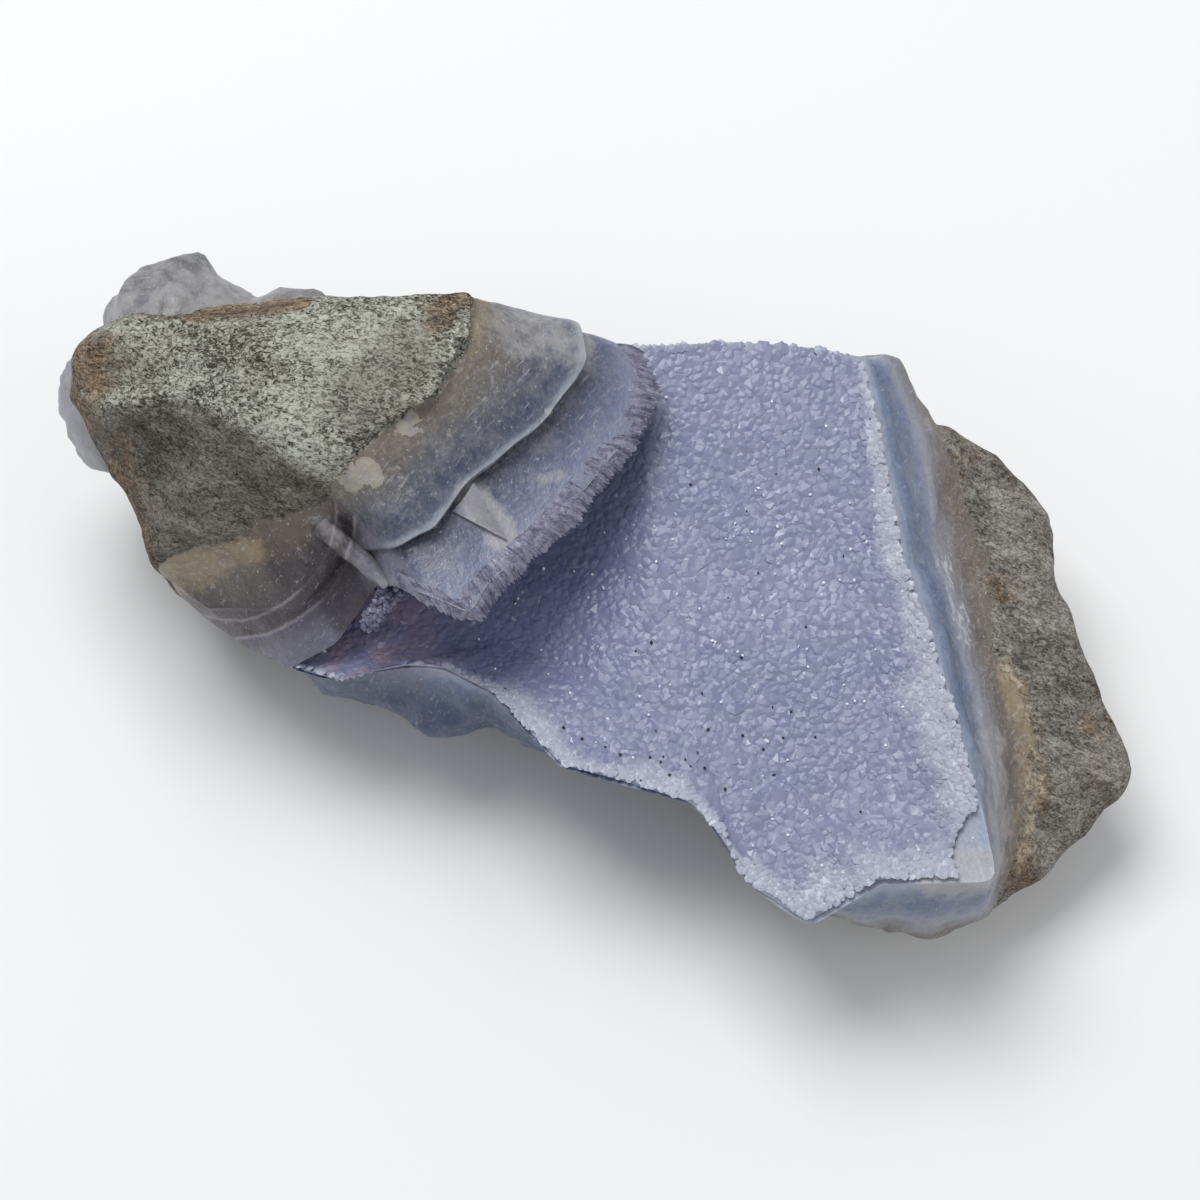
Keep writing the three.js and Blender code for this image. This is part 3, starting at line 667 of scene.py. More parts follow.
@dataclass(frozen=True)
class Trail:
    """A mark along a line of points, or around a single one, strongest on the line.

    Distances along the direction from which the piece is seen count for little, so a mark holds on
    a surface that lies a little above or below its line.
    """

    points: Sequence[Sequence[float]]
    reach: float
    amount: float = 1.0
    depth_share: float = 0.2

    def over(self, places: np.ndarray) -> np.ndarray:
        """The mark's strength: amount * (1 - distance / reach), eased.

        Args:
            places: Places in mm.

        Returns:
            One number for each place.
        """
        line = np.atleast_2d(np.asarray(self.points, float))
        squash = np.eye(3) - (1.0 - self.depth_share) * np.outer(SIGHT, SIGHT)
        line, places = line @ squash, places @ squash
        nearest = np.linalg.norm(places - line[0], axis=1)
        for start, end in zip(line[:-1], line[1:]):
            along = end - start
            share = np.clip((places - start) @ along / (along @ along), 0.0, 1.0)
            nearest = np.minimum(nearest, np.linalg.norm(places - start - share[:, None] * along, axis=1))
        return self.amount * rise(1.0 - nearest / self.reach, 0.0, 0.8)


MARKS: dict[str, Sequence[Trail]] = {
    "stain": (
        Trail([[-15.9, 21.6, 43.5], [-13.8, 24.4, 42.5]], 3.2, 0.9),
        Trail([[-52.5, 17.6, 34.0], [-51.0, 21.0, 38.0]], 6.0, 0.9),
        Trail([[-48.2, 12.7, 33.0], [-46.0, 6.0, 26.0]], 3.5, 0.7),
        Trail([[-45.0, 24.9, 40.5], [-39.4, 23.8, 41.5], [-29.4, 23.9, 43.0]], 2.2, 1.0),
        Trail([[41.0, 4.5, 17.5]], 4.6, 0.7),
        Trail([[50.5, -9.0, 15.0]], 4.0, 0.6),
        Trail([[37.6, 18.5, 19.0]], 3.6, 0.6),
        Trail([[41.6, -6.3, 17.0], [43.5, -13.2, 15.0], [44.4, -16.9, 13.5]], 3.2, 0.7),
        Trail([[42.4, -23.3, 10.5]], 4.5, 0.8),
    ),
    "crack": (
        Trail([[-50.2, 14.5, 36.0], [-46.2, 14.7, 38.0], [-42.6, 14.3, 39.5], [-38.6, 13.2, 40.0]], 0.8, 0.8),
        Trail([[-44.4, 24.2, 41.0], [-36.0, 23.7, 42.2], [-30.4, 24.2, 43.0]], 0.9, 1.0),
        Trail([[-41.0, 25.1, 41.0], [-34.0, 24.9, 42.2]], 0.7, 1.0),
    ),
    "chips": (
        Trail([[-25.2, 7.4, 40.0], [-23.8, 5.9, 39.5]], 1.7, 1.0),
        Trail([[-22.6, 7.2, 40.0], [-22.0, 6.2, 40.0]], 1.6, 1.0),
        Trail([[-18.4, 10.8, 42.0]], 2.2, 0.62),
        Trail([[-19.8, 13.5, 43.0], [-15.5, 15.2, 43.0]], 1.6, 0.5),
        Trail([[-4.9, 14.3, 38.0]], 0.9, 0.7),
    ),
    "flakes": (
        Trail([[34.9, 6.3, 21.0], [36.6, -2.0, 20.0]], 2.4, 1.0),
        Trail([[36.6, -2.0, 20.0], [39.0, -12.0, 19.0], [40.2, -24.0, 16.0]], 2.6, 0.75),
    ),
    "milky": (
        Trail([[-5.6, 8.0, 36.0], [-3.9, 8.6, 36.0]], 1.4, 0.6),
        Trail([[-54.5, 21.0, 24.0], [-52.0, 14.0, 24.0]], 8.0, 1.0),
        Trail([[-56.0, 24.0, 20.0], [-55.0, 17.0, 20.0]], 6.0, 1.0),
        Trail([[-46.0, 26.0, 34.0], [-36.0, 29.0, 34.0]], 11.0, 0.62),
        Trail([[-12.6, 5.4, 37.2], [-9.6, 2.2, 35.8]], 3.0, 0.8),
        Trail([[-27.0, 4.4, 33.6], [-20.6, -0.6, 29.6]], 2.6, 0.5),
        Trail([[33.0, -28.5, 23.0], [38.5, -27.5, 22.0]], 4.0, 0.9),
        Trail([[38.6, -14.0, 21.0], [39.4, -22.0, 19.0]], 4.0, 0.6),
        Trail([[-8.0, 24.0, 38.0], [-3.0, 22.0, 38.0]], 6.0, 0.58),
    ),
    # darker patches on the top of the block; Stone.mark adds to this the painted shade of the block's front
    # face
    "shade": (
        Trail([[-19.0, 17.0, 44.0], [-23.0, 12.0, 44.0]], 7.0, 0.5),
        Trail([[-49.0, 19.0, 38.0]], 6.0, 0.4),
    ),
    "blue": (
        Trail([[-33.0, -3.0, 15.0], [-20.0, -9.5, 15.0], [-8.0, -12.0, 16.0]], 7.0, 1.0),
        Trail([[-8.0, -12.0, 16.0], [4.0, -16.5, 15.0], [14.0, -23.0, 14.0]], 7.0, 1.0),
    ),
    "amber": (
        Trail([[-46.0, 4.1, 20.0], [-42.4, 4.1, 22.0], [-35.0, 5.6, 26.0]], 4.6, 0.9),
        Trail([[-14.0, 19.0, 42.0], [-12.0, 24.0, 41.0]], 4.5, 0.6),
        Trail([[41.0, -4.3, 17.6], [42.4, -9.0, 16.0]], 2.4, 0.9),
        Trail([[42.4, -9.0, 16.0], [43.6, -15.2, 14.0], [42.6, -22.0, 11.0]], 3.6, 0.75),
    ),
    # painted shadow around the finger and under the ledge in the recess
    "dusk": (
        Trail([[-31.0, 3.6, 28.0], [-27.0, 1.6, 27.0], [-23.5, -2.6, 24.0]], 4.6, 1.0),
        Trail([[-36.0, 6.4, 30.0], [-30.0, 5.0, 30.0]], 3.0, 0.7),
    ),
}


KNOWN = 0.999  # a point's `valid` number from which its other numbers hold
FILL_STEPS = 6


@dataclass
class Stone:
    """The host rock and its agate, grown together as one piece."""

    slab: Loft = field(default_factory=lambda: Loft("slab", SLAB_AXIS, SLAB_RINGS, 432, seed=3, kind=1.0))
    block: Loft = field(
        default_factory=lambda: Loft("block", BLOCK_AXIS, BLOCK_RINGS, 478, hollow=(-140.0, 40.0), seed=7)
    )
    lumps: Sequence[Lump] = (
        Lump("back lump", (-41.6, 24.0, 27.0), (9.4, 10.8, 12.6), 0.2, 4.0, 1.2),
        Lump("long back lump", (-30.0, 24.4, 26.0), (13.0, 7.6, 12.0), -0.1, 4.1, 1.2),
        Lump("left lump", (-49.8, 23.6, 23.4), (5.6, 5.4, 8.4), 0.5, 1.0, 0.9),
    )
    finger: Rod = Rod("finger", (-27.6, 4.3, 34.0), (-20.8, -0.6, 30.0), 1.05, 0.95, 1.0)
    fin: Fin = Fin("fin", (-12.3, 6.6, 37.9), (-14.4, 4.2, 36.5), (-9.0, 1.7, 35.3), 1.6)
    arcs: tuple[float, float, float] = (-37.5, 9.8, 25.0)
    recess_edge: Sequence[Sequence[float]] = ((-29.3, 8.2, 38.0), (-16.5, -2.6, 34.0))
    # the line across the block's front, below which its face gets painted shade
    brow: Sequence[Sequence[float]] = (
        (-52.0, 14.5, 35.0), (-46.2, 14.5, 38.0), (-42.6, 14.3, 39.5), (-37.6, 12.9, 40.0), (-26.0, 6.0, 38.0)
    )
    crack_depth: float = 0.35
    blue_layer: float = 0.35
    blue_share: float = 0.7
    base: float = 200.0
    sharp_degrees: float = 38.0

    def build(self) -> bpy.types.Object:
        """Joins the lofts and lumps, cuts the flat spot and works out the stone's own numbers.

        Returns:
            The stone as one closed mesh.
        """
        shapes = [self.slab.build(), self.block.build(), *(lump.build() for lump in self.lumps)]
        shapes += [self.finger.build(), self.fin.build()]
        stone, *others = [shape.outward().to_object(f"part_{i}") for i, shape in enumerate(shapes)]
        stone.name = "stone"
        for other in others:
            self.combine(stone, other, "UNION")
        self.combine(stone, self.ground(), "DIFFERENCE")
        self.settle(stone.data)
        stone.data.shade_smooth()
        stone.data.set_sharp_from_angle(angle=math.radians(self.sharp_degrees))
        return stone

    def ground(self) -> bpy.types.Object:
        """A block below the stone, whose top cuts the flat spot."""
        side = self.base / 2.0
        ends = (-side, side)
        corners = np.array([[x, y, z] for z in (-self.base, 0.0) for y in ends for x in ends])
        faces = np.array([[0, 2, 3, 1], [4, 5, 7, 6], [0, 1, 5, 4], [2, 6, 7, 3], [0, 4, 6, 2], [1, 3, 7, 5]])
        numbers = {"layer": np.full(8, SLAB_RINGS[-1].layer), "kind": np.zeros(8), "valid": np.zeros(8)}
        return Shape(corners, [faces], numbers).to_object("ground")

    @staticmethod
    def combine(base: bpy.types.Object, other: bpy.types.Object, operation: str) -> None:
        """Joins or cuts a mesh with another, which is then deleted.

        Args:
            base: The mesh that is changed.
            other: The mesh that is joined to it or cut from it.
            operation: UNION or DIFFERENCE.
        """
        cut = base.modifiers.new("combine", "BOOLEAN")
        cut.operation = operation
        cut.solver = "MANIFOLD"
        cut.object = other
        done = bpy.data.meshes.new_from_object(base.evaluated_get(bpy.context.evaluated_depsgraph_get()))
        base.modifiers.clear()
        base.data = done
        bpy.data.objects.remove(other)

    def settle(self, mesh: bpy.types.Mesh) -> None:
        """Gives the joined stone its numbers and its fine relief.

        Args:
            mesh: The joined stone.
        """
        points = np.empty(len(mesh.vertices) * 3, np.float32)
        mesh.vertices.foreach_get("co", points)
        points = points.reshape(-1, 3)
        places = points / MM + CENTRE_ON_BASE
        values = self.filled(mesh)
        self.mark(values, places)
        normals = np.array([v.vector[:] for v in mesh.vertex_normals])
        moved = points + normals * (self.relief(values, places) * MM)[:, None]
        mesh.vertices.foreach_set("co", moved.astype(np.float32).ravel())
        for key, value in values.items():
            spare = mesh.attributes.get(key)
            if spare is not None:
                mesh.attributes.remove(spare)
            mesh.attributes.new(key, "FLOAT", "POINT").data.foreach_set("value", value.astype(np.float32))
        mesh.update()

    def filled(self, mesh: bpy.types.Mesh) -> dict[str, np.ndarray]:
        """The layer and kind of every point: those that the joins made take their neighbours' mean.

        Args:
            mesh: The joined stone.

        Returns:
            One number of each name for each point.
        """
        count = len(mesh.vertices)
        ends = np.empty(len(mesh.edges) * 2, np.int32)
        mesh.edges.foreach_get("vertices", ends)
        a, b = ends.reshape(-1, 2).T

        def gather(value: np.ndarray) -> np.ndarray:
            """The sum of a number over each point's neighbours."""
            return np.bincount(a, value[b], count) + np.bincount(b, value[a], count)

        known = self.read(mesh, "valid") > KNOWN
        values = {key: self.read(mesh, key) for key in ("layer", "kind")}
        for _ in range(FILL_STEPS):
            total = gather(known)
            fill = ~known & (total > 0)
            for key, value in values.items():
                values[key] = np.where(fill, gather(known * value) / np.maximum(total, 1), value)
            known = known | fill
        return values

    def mark(self, values: dict[str, np.ndarray], places: np.ndarray) -> None:
        """Adds the numbers of the marks, of the recess with its rings, of the painted shade on the block's
        front face, and of the blue broken stretch.

        Args:
            values: The numbers so far, which are added to.
            places: The points' places in mm.
        """
        for name, trails in MARKS.items():
            values[name] = np.max([trail.over(places) for trail in trails], axis=0)
        left = -places[:, 0]
        values["recess"] = self.under(places, self.recess_edge, 0.5) * rise(left, 14.0, 22.0)
        # painted shade: the block's front face below the brow line is marked to be darkened, as if turned
        # from the light
        front = self.under(places, self.brow, 2.2) * rise(left, 20.0, 27.0)
        values["shade"] = np.maximum(values["shade"], front)
        values["arc"] = self.seen_from(places, self.arcs)
        values["blue"] *= values["kind"]
        blue = values["blue"]
        values["layer"] = values["layer"] * (1.0 - self.blue_share * blue) + self.blue_layer * blue

    def relief(self, values: dict[str, np.ndarray], places: np.ndarray) -> np.ndarray:
        """Shell-like chips on the agate, each row a height, a chip's size, a stretch and a seed; cracks.

        Args:
            values: The stone's numbers.
            places: The points' places in mm.

        Returns:
            How far each point moves outwards, in mm.
        """
        agate = rise(values["layer"], 0.3, 0.9) * (1.0 - rise(values["layer"], 4.4, 5.2))
        slab = values["kind"] * agate
        chips = (
            (slab * (1.1 * values["blue"] + 0.25), 6.5, (1.0, 1.0, 1.0), 71),
            (slab * 0.5, 2.6, (1.0, 0.45, 0.8), 75),
            (slab * 0.3, 1.1, (1.0, 0.5, 1.0), 77),
            ((1.0 - values["kind"]) * agate * 0.22, 3.4, (1.0, 1.0, 1.0), 81),
            (values["chips"] * 0.35, 1.0, (1.0, 1.0, 1.0), 83),
        )
        total = -self.crack_depth * values["crack"]
        for height, size, stretch, seed in chips:
            total = total + height * (scallops(places * np.array(stretch), size, seed) - 0.25)
        return total

    @staticmethod
    def seen_from(places: np.ndarray, centre: Sequence[float]) -> np.ndarray:
        """How far places lie from a centre as the piece is seen, where growth lines are rings about it.

        Args:
            places: Places in mm.
            centre: The centre's x, its height across the line of sight, and the height z of that zero.

        Returns:
            One distance in mm for each place.
        """
        height = (places - UP * centre[2]) @ SIGHT_UP
        return np.hypot(places[:, 0] - centre[0], height - centre[1])

    @staticmethod
    def under(places: np.ndarray, line: Sequence[Sequence[float]], soft: float) -> np.ndarray:
        """1 below a line as the piece is seen, and 0 above it.

        Args:
            places: Places in mm.
            line: The line's points from left to right.
            soft: Half the width of the change, in mm.

        Returns:
            One number for each place.
        """
        corners = np.asarray(line, float)
        edge = np.interp(places[:, 0], corners[:, 0], corners @ SIGHT_UP)
        return rise(edge - places @ SIGHT_UP, -soft, soft)

    @staticmethod
    def read(mesh: bpy.types.Mesh, key: str) -> np.ndarray:
        """One number for each point of a mesh."""
        values = np.zeros(len(mesh.vertices), np.float32)
        mesh.attributes[key].data.foreach_get("value", values)
        return values.astype(float)


# The druse


SIX = np.arange(6)


@dataclass
class Druse:
    """The crust of quartz crystals over the floor, the roof and the broken lip of the hollow."""

    rng: np.random.Generator = field(default_factory=lambda: np.random.default_rng(11))
    clearance: float = 0.3
    thickness: float = 0.22
    spacing: float = 0.78
    rim_spacing: float = 0.64
    reach: float = 0.985
    steps: int = 190
    rows: int = 56
    under_rows: int = 12
    sheet_tone: float = 0.35
    floor_box: Sequence[tuple[float, float]] = ((-36.0, -34.0), (40.0, 29.0))
    hollow_middle: tuple[float, float, float] = (-12.0, 3.0, 20.0)
    hollow_size: tuple[float, float, float] = (24.0, 17.0, 30.0)
    facet_spread: float = 0.24
    # share of crystals with one facet of painted glint
    lit_share: float = 0.1
    roof_steps: int = 90
    roof_rows: int = 14
    lip_rows: int = 10
    roof_angles: tuple[float, float] = (-64.0, 24.0)
    roof_count: int = 1000
    fringe_angles: tuple[float, float] = (18.0, -61.0)
    bare_corner: tuple[float, float, float] = (38.6, -26.6, 4.6)
    teeth: int = 104
    tooth_steps: int = 6
    fringe_rows: int = 14
    tooth_length: float = 3.3
    tuft_count: int = 320
    tuft_line: Sequence[Sequence[float]] = ((-20.2, -0.1, 28.8), (-23.0, -3.2, 26.4))
    black_grains: int = 26
    # tiny white grains that stand for painted glints
    glint_grains: int = 130
    mauve: float = 0.25

    def build(self) -> bpy.types.Object:
        """Lays the two base sheets and plants the crystals on them.

        Returns:
            The crust as one mesh.
        """
        shapes = [self.floor_sheet(), self.roof_sheet(), self.floor_crystals(), self.roof_crystals()]
        shapes += [self.fringe(), self.tuft(), self.specks()]
        offset, faces, bright = 0, [], []
        for shape in shapes:
            faces += [f + offset for f in shape.faces]
            offset += len(shape.points)
            bright.append(shape.face_numbers.get("bright", np.zeros(sum(map(len, shape.faces)))))
        keys = shapes[0].numbers.keys()
        numbers = {key: np.concatenate([shape.numbers[key] for shape in shapes]) for key in keys}
        points = np.concatenate([shape.points for shape in shapes])
        return Shape(points, faces, numbers, {"bright": np.concatenate(bright)}).to_object("druse")

    def floor_height(self, places: np.ndarray) -> tuple[np.ndarray, np.ndarray]:
        """The stone's height under the floor of crystals, and the share of the way out to its rim."""
        return along_rings(FLOOR_RINGS, SLAB_AXIS, places)

    def bare(self, places: np.ndarray) -> np.ndarray:
        """1 on the smooth facet at the right front corner, where no crystals grew."""
        x, y, reach = self.bare_corner
        across = np.linalg.norm((places[:, :2] - np.array([x, y])) * np.array([1.0, 0.8]), axis=1)
        return 1.0 - rise(across + 1.3 * fractal(places, 3.0, 3, 17), reach - 0.5, reach)

    def swelling(self, points: np.ndarray, edge: np.ndarray) -> np.ndarray:
        """How much the crust is thicker here and there, in mm, most at its sugary rim."""
        return 0.1 * fractal(points, 3.0, 2, 5) + 0.55 * edge * rise(fractal(points, 4.0, 2, 8), -0.2, 0.35)

    def numbers(self, points: np.ndarray, tone: np.ndarray, edge: np.ndarray) -> dict[str, np.ndarray]:
        """The numbers that the crust's finish reads.

        Args:
            points: Places in mm.
            tone: A random number for each crystal.
            edge: 1 at the sugary rim and 0 away from it.

        Returns:
            `tone`, `edge`, `deep` (1 in the hollow), `dusky` (1 at its left end) and `speck`.
        """
        away = (points - np.array(self.hollow_middle)) / np.array(self.hollow_size)
        deep = 1.0 - rise(np.linalg.norm(away, axis=-1), 0.3, 1.0)
        left = rise(-points[:, 0], 11.0, 22.0)
        return {"tone": tone, "edge": edge, "deep": deep, "dusky": left, "speck": 0.0 * tone}

    def floor_sheet(self) -> Shape:
        """A closed lens over the floor: rows run out from its middle on top and back underneath.

        Returns:
            The sheet.
        """
        angles = clockwise(self.steps)
        rim = on_ring(FLOOR_RINGS[-1].points, SLAB_AXIS, angles)[:, :2]
        axis = np.array(SLAB_AXIS)
        over, under = np.linspace(0.0, self.reach, self.rows), np.linspace(self.reach, 0.0, self.under_rows)
        shares = np.concatenate([over, under])
        top = np.arange(len(shares)) < self.rows
        lifts = self.clearance + np.where(top, self.thickness, 0.0)
        flat = axis + shares[:, None, None] * (rim - axis)[None]
        height, _ = self.floor_height(flat.reshape(-1, 2))
        grid = np.concatenate([flat, height.reshape(flat.shape[:2])[..., None]], -1)
        spots = grid.reshape(-1, 3)
        bare = self.bare(spots)
        more = self.swelling(spots, self.rim_share(spots)) * (1.0 - bare) - 1.2 * bare
        more = more.reshape(flat.shape[:2])
        grid[..., 2] += np.where(top[:, None], more, np.minimum(more, 0.0))
        grid[..., 2] += (lifts - (self.clearance + 0.25) * rise(shares, 0.955, self.reach))[:, None]
        shape = Loft("floor sheet", SLAB_AXIS, (), self.steps).close(grid, np.zeros(grid.shape[:2]))
        tone = np.full(len(shape.points), self.sheet_tone)
        shape.numbers = self.numbers(shape.points, tone, self.rim_share(shape.points))
        return shape

    def roof_sheet(self) -> Shape:
        """A closed sheet under the roof: a fan of rows between two angles, above and below.

        Returns:
            The sheet.
        """
        angles = np.radians(np.linspace(*self.roof_angles[::-1], self.roof_steps))
        back, roof, lip = self.roof_rings(angles)
        rows = [blend(back, roof, s) for s in np.linspace(0.0, 1.0, self.roof_rows)]
        rows += [blend(roof, lip, s) for s in np.linspace(0.08, 0.98, self.lip_rows)]
        top = np.stack(rows)
        push = normals_open(top)
        shape = between(top + push * (self.clearance + self.thickness), top + push * self.clearance)
        count = len(shape.points)
        shape.numbers = self.numbers(shape.points, np.full(count, 0.3), np.zeros(count))
        return shape

    def roof_rings(self, angles: np.ndarray) -> list[np.ndarray]:
        """The stone's back, roof and lip over the hollow, at these angles."""
        return [on_ring(ring.points, BLOCK_AXIS, angles) for ring in (HOLLOW_BACK, ROOF, LIP)]

    def rim_share(self, points: np.ndarray) -> np.ndarray:
        """1 at the floor's rim, falling to 0 over a few mm, most along the right side and the front.

        Args:
            points: Places in mm.

        Returns:
            One number for each place.
        """
        offset = points[:, :2] - np.array(SLAB_AXIS)
        angles = np.arctan2(offset[:, 1], offset[:, 0])
        rim = on_ring(FLOOR_RINGS[-1].points, SLAB_AXIS, angles)[:, :2] - np.array(SLAB_AXIS)
        gap = np.linalg.norm(rim, axis=1) - np.linalg.norm(offset, axis=1)
        right = rise(points[:, 0] - 0.25 * points[:, 1], 20.0, 32.0)
        front = rise(-points[:, 1], 4.0, 12.0)
        width = 0.9 + 4.2 * right + 2.6 * front
        wander = 1.0 + 0.95 * fractal(points, 7.0, 4, 31)
        return 1.0 - rise(gap / (width * wander), 0.0, 1.5)

    def floor_crystals(self) -> Shape:
        """Low crystals on a loosened lattice of triangles over the floor, leaning at random.

        Returns:
            The crystals.
        """
        rng = self.rng
        coarse = scattered(rng, *self.floor_box, self.spacing)
        fine = scattered(rng, *self.floor_box, self.spacing * self.rim_spacing)
        places = np.concatenate([coarse, fine])
        small = np.arange(len(places)) >= len(coarse)
        height, share = self.floor_height(places)
        ground = np.column_stack([places, height])
        edge = self.rim_share(ground)
        kept = (share < self.reach) & (self.bare(ground) < 0.5) & (~small | (edge > 0.3))
        places, ground, edge, small = places[kept], ground[kept], edge[kept], small[kept]
        count = len(places)
        roots = ground + UP * (self.clearance + self.thickness)
        roots[:, 2] += self.swelling(ground, edge)
        normal = slope_normals(lambda p: self.floor_height(p)[0], places)
        size = self.spacing * (1.45 + 0.85 * rng.random(count) ** 2) * (1.0 - 0.3 * edge)
        size = np.where(rng.random(count) < 0.06, size * 1.3, size) * np.where(small, 0.72, 1.0)
        tall = size * (0.06 + 0.08 * rng.random(count)) * (1.0 + 1.2 * small)
        lean = normal + 0.08 * rng.normal(size=(count, 3)) * np.array([1.0, 1.0, 0.2])
        return self.crystals(roots, lean, size, tall, edge)

    def roof_crystals(self) -> Shape:
        """Crystals that hang from the roof and the back of the hollow.

        Returns:
            The crystals.
        """
        rng, count = self.rng, self.roof_count
        low, high = (math.radians(a) for a in self.roof_angles)
        back, roof, lip = self.roof_rings(low + (high - low) * rng.random(count))
        share = 2.0 * rng.random(count)[:, None]
        roots = np.where(share < 1.0, blend(back, roof, share), blend(roof, lip, share - 1.0))
        down = unit(np.where(share < 1.0, lip - back, -UP))
        down = down + 0.3 * rng.normal(size=(count, 3))
        size = 0.8 + 0.7 * rng.random(count)
        return self.crystals(roots - 0.5 * UP, down, size, 0.5 * size, np.zeros(count))

    def fringe(self) -> Shape:
        """The crystals of the broken lip, grown together side by side like the teeth of a comb.

        A closed sheet runs out from inside the lip. Across the lip it is folded into teeth: a point at
        phase p of a tooth, from 0 to 1, is raised by height * (1 - |2p - 1|) and its tooth ends at
        length * (1 - cut |2p - 1|), so that each has a ridge, two faces and a point.

        Returns:
            The crystals.
        """
        rng, across = self.rng, self.tooth_steps
        borders = np.concatenate([[0.0], np.cumsum(0.35 + rng.random(self.teeth))])
        step = np.arange(self.teeth * across + 1)
        along = np.interp(step / across, np.arange(self.teeth + 1), borders / borders[-1])
        first, last = self.fringe_angles
        angles = np.radians(first + (last - first) * along)
        tooth = np.minimum(step // across, self.teeth - 1)
        ridge = 1.0 - np.abs(2.0 * (step % across) / across - 1.0)
        lip, under = (on_ring(ring.points, BLOCK_AXIS, angles) for ring in (LIP_TOP, LIP))
        tone, long, cut, height = rng.random((4, self.teeth))[:, tooth]
        drift = np.stack([swell(lip, 3.0, 60), swell(lip, 3.0, 61), 0.3 * swell(lip, 2.0, 62)], 1)
        out = np.stack([np.cos(angles), np.sin(angles), np.full(len(angles), -0.5)], 1)
        out = unit(out + 0.4 * drift)
        waves = 1.0 + 0.14 * swell(lip, 6.0, 40) + 0.1 * swell(lip, 1.8, 50)
        length = self.tooth_length * (0.92 + 0.1 * long) * waves * (1.0 - (0.06 + 0.1 * cut) * (1.0 - ridge))
        ends = np.minimum(1.0, np.minimum(step, step[::-1]) / (4.0 * across))
        s = np.linspace(0.0, 1.0, self.fringe_rows)[:, None]
        start = blend(under, lip, 0.85) - 1.6 * out
        grid = start + out * (length * (0.5 + 0.5 * ends))[:, None] * s[..., None]
        fold = (0.02 + 0.16 * height**2) * ridge * np.minimum(1.0, 5.0 * (1.0 - s))
        fold = fold + 0.3 * fractal(grid, 2.2, 4, 66) * np.minimum(1.0, 3.0 * (1.0 - s))
        grid[..., 2] += 0.35 * np.sin(np.pi * s) + fold * ends
        low = grid - UP * (0.06 + 1.5 * (1.0 - s) ** 0.8)[..., None]
        shape = between(grid, low)
        count = len(shape.points)
        tones = np.tile(np.broadcast_to(tone, grid.shape[:2]).ravel(), 2)
        shape.numbers = self.numbers(shape.points, tones, np.full(count, 0.1))
        shape.numbers["speck"] = np.full(count, self.mauve)
        # painted glints on a few of the fringe's faces
        shape.face_numbers["bright"] = 0.5 * rng.random(sum(map(len, shape.faces))) ** 5
        return shape.outward()

    def tuft(self) -> Shape:
        """Small crystals in a loose bunch around the end of the finger.

        Returns:
            The crystals.
        """
        rng, count = self.rng, self.tuft_count
        along = rng.random(count)[:, None]
        line = blend(*np.array(self.tuft_line), along)
        out = unit(rng.normal(size=(count, 3)) * np.array([1.0, 1.0, 0.6]))
        size = 0.4 + 0.3 * rng.random(count)
        wide = 0.8 - 0.35 * along
        made = self.crystals(line + wide * out, out, size, size, np.full(count, 0.1), shanks=True)
        made.numbers["speck"] = np.full(len(made.points), self.mauve)
        return made

    def specks(self) -> Shape:
        """Tiny grains on the floor: black ones, most near its front edge, and white ones all over as painted
        glints.

        Returns:
            The grains.
        """
        rng, black, white = self.rng, self.black_grains, self.glint_grains
        places = np.concatenate([
            np.array([8.0, -16.0]) + rng.normal(size=(black, 2)) * np.array([6.5, 2.6]),
            np.array([8.0, 2.0]) + rng.normal(size=(black, 2)) * np.array([12.0, 12.0]),
            np.array([12.0, 0.0]) + rng.normal(size=(white, 2)) * np.array([16.0, 13.0]),
        ])
        height, share = self.floor_height(places)
        kept = share < 0.97
        # 1 marks a black grain and -1 a white one, a painted glint
        kind = np.where(np.arange(len(places)) < 2 * black, 1.0, -1.0)[kept]
        roots = np.column_stack([places, height + self.clearance + self.thickness + 0.22])[kept]
        count = len(roots)
        size = 0.16 + 0.24 * rng.random(count)
        up = UP + 0.6 * rng.normal(size=(count, 3))
        made = self.crystals(roots, up, size, size * 0.6, np.zeros(count))
        made.numbers["speck"] = np.repeat(kind, len(made.points) // count)
        made.face_numbers["bright"] = np.zeros(len(made.faces[0]))
        return made

    def spokes(self, lean: np.ndarray, size: np.ndarray) -> tuple[np.ndarray, np.ndarray]:
        """The six corners around each crystal's axis: (across * cos + over * sin) * size / 2, uneven.

        Args:
            lean: The way each crystal points, as unit vectors.
            size: The width of each one in mm.

        Returns:
            The corners' offsets from the axis, and where the tip slides to.
        """
        rng, count = self.rng, len(lean)
        helper = np.where(np.abs(lean[:, 2:]) < 0.9, UP, np.array([1.0, 0.0, 0.0]))
        across = unit(np.cross(helper, lean))
        over = np.cross(lean, across)
        twist = rng.random(count)[:, None] * math.tau + SIX[None] * math.tau / 6.0
        spoke = across[:, None] * np.cos(twist)[..., None] + over[:, None] * np.sin(twist)[..., None]
        uneven = 1.0 + self.facet_spread * (rng.random((count, 6)) - 0.5)
        slide = spoke[:, 0] * (size * 0.26 * rng.random(count))[:, None]
        return spoke * (size[:, None] / 2.0 * uneven)[..., None], slide

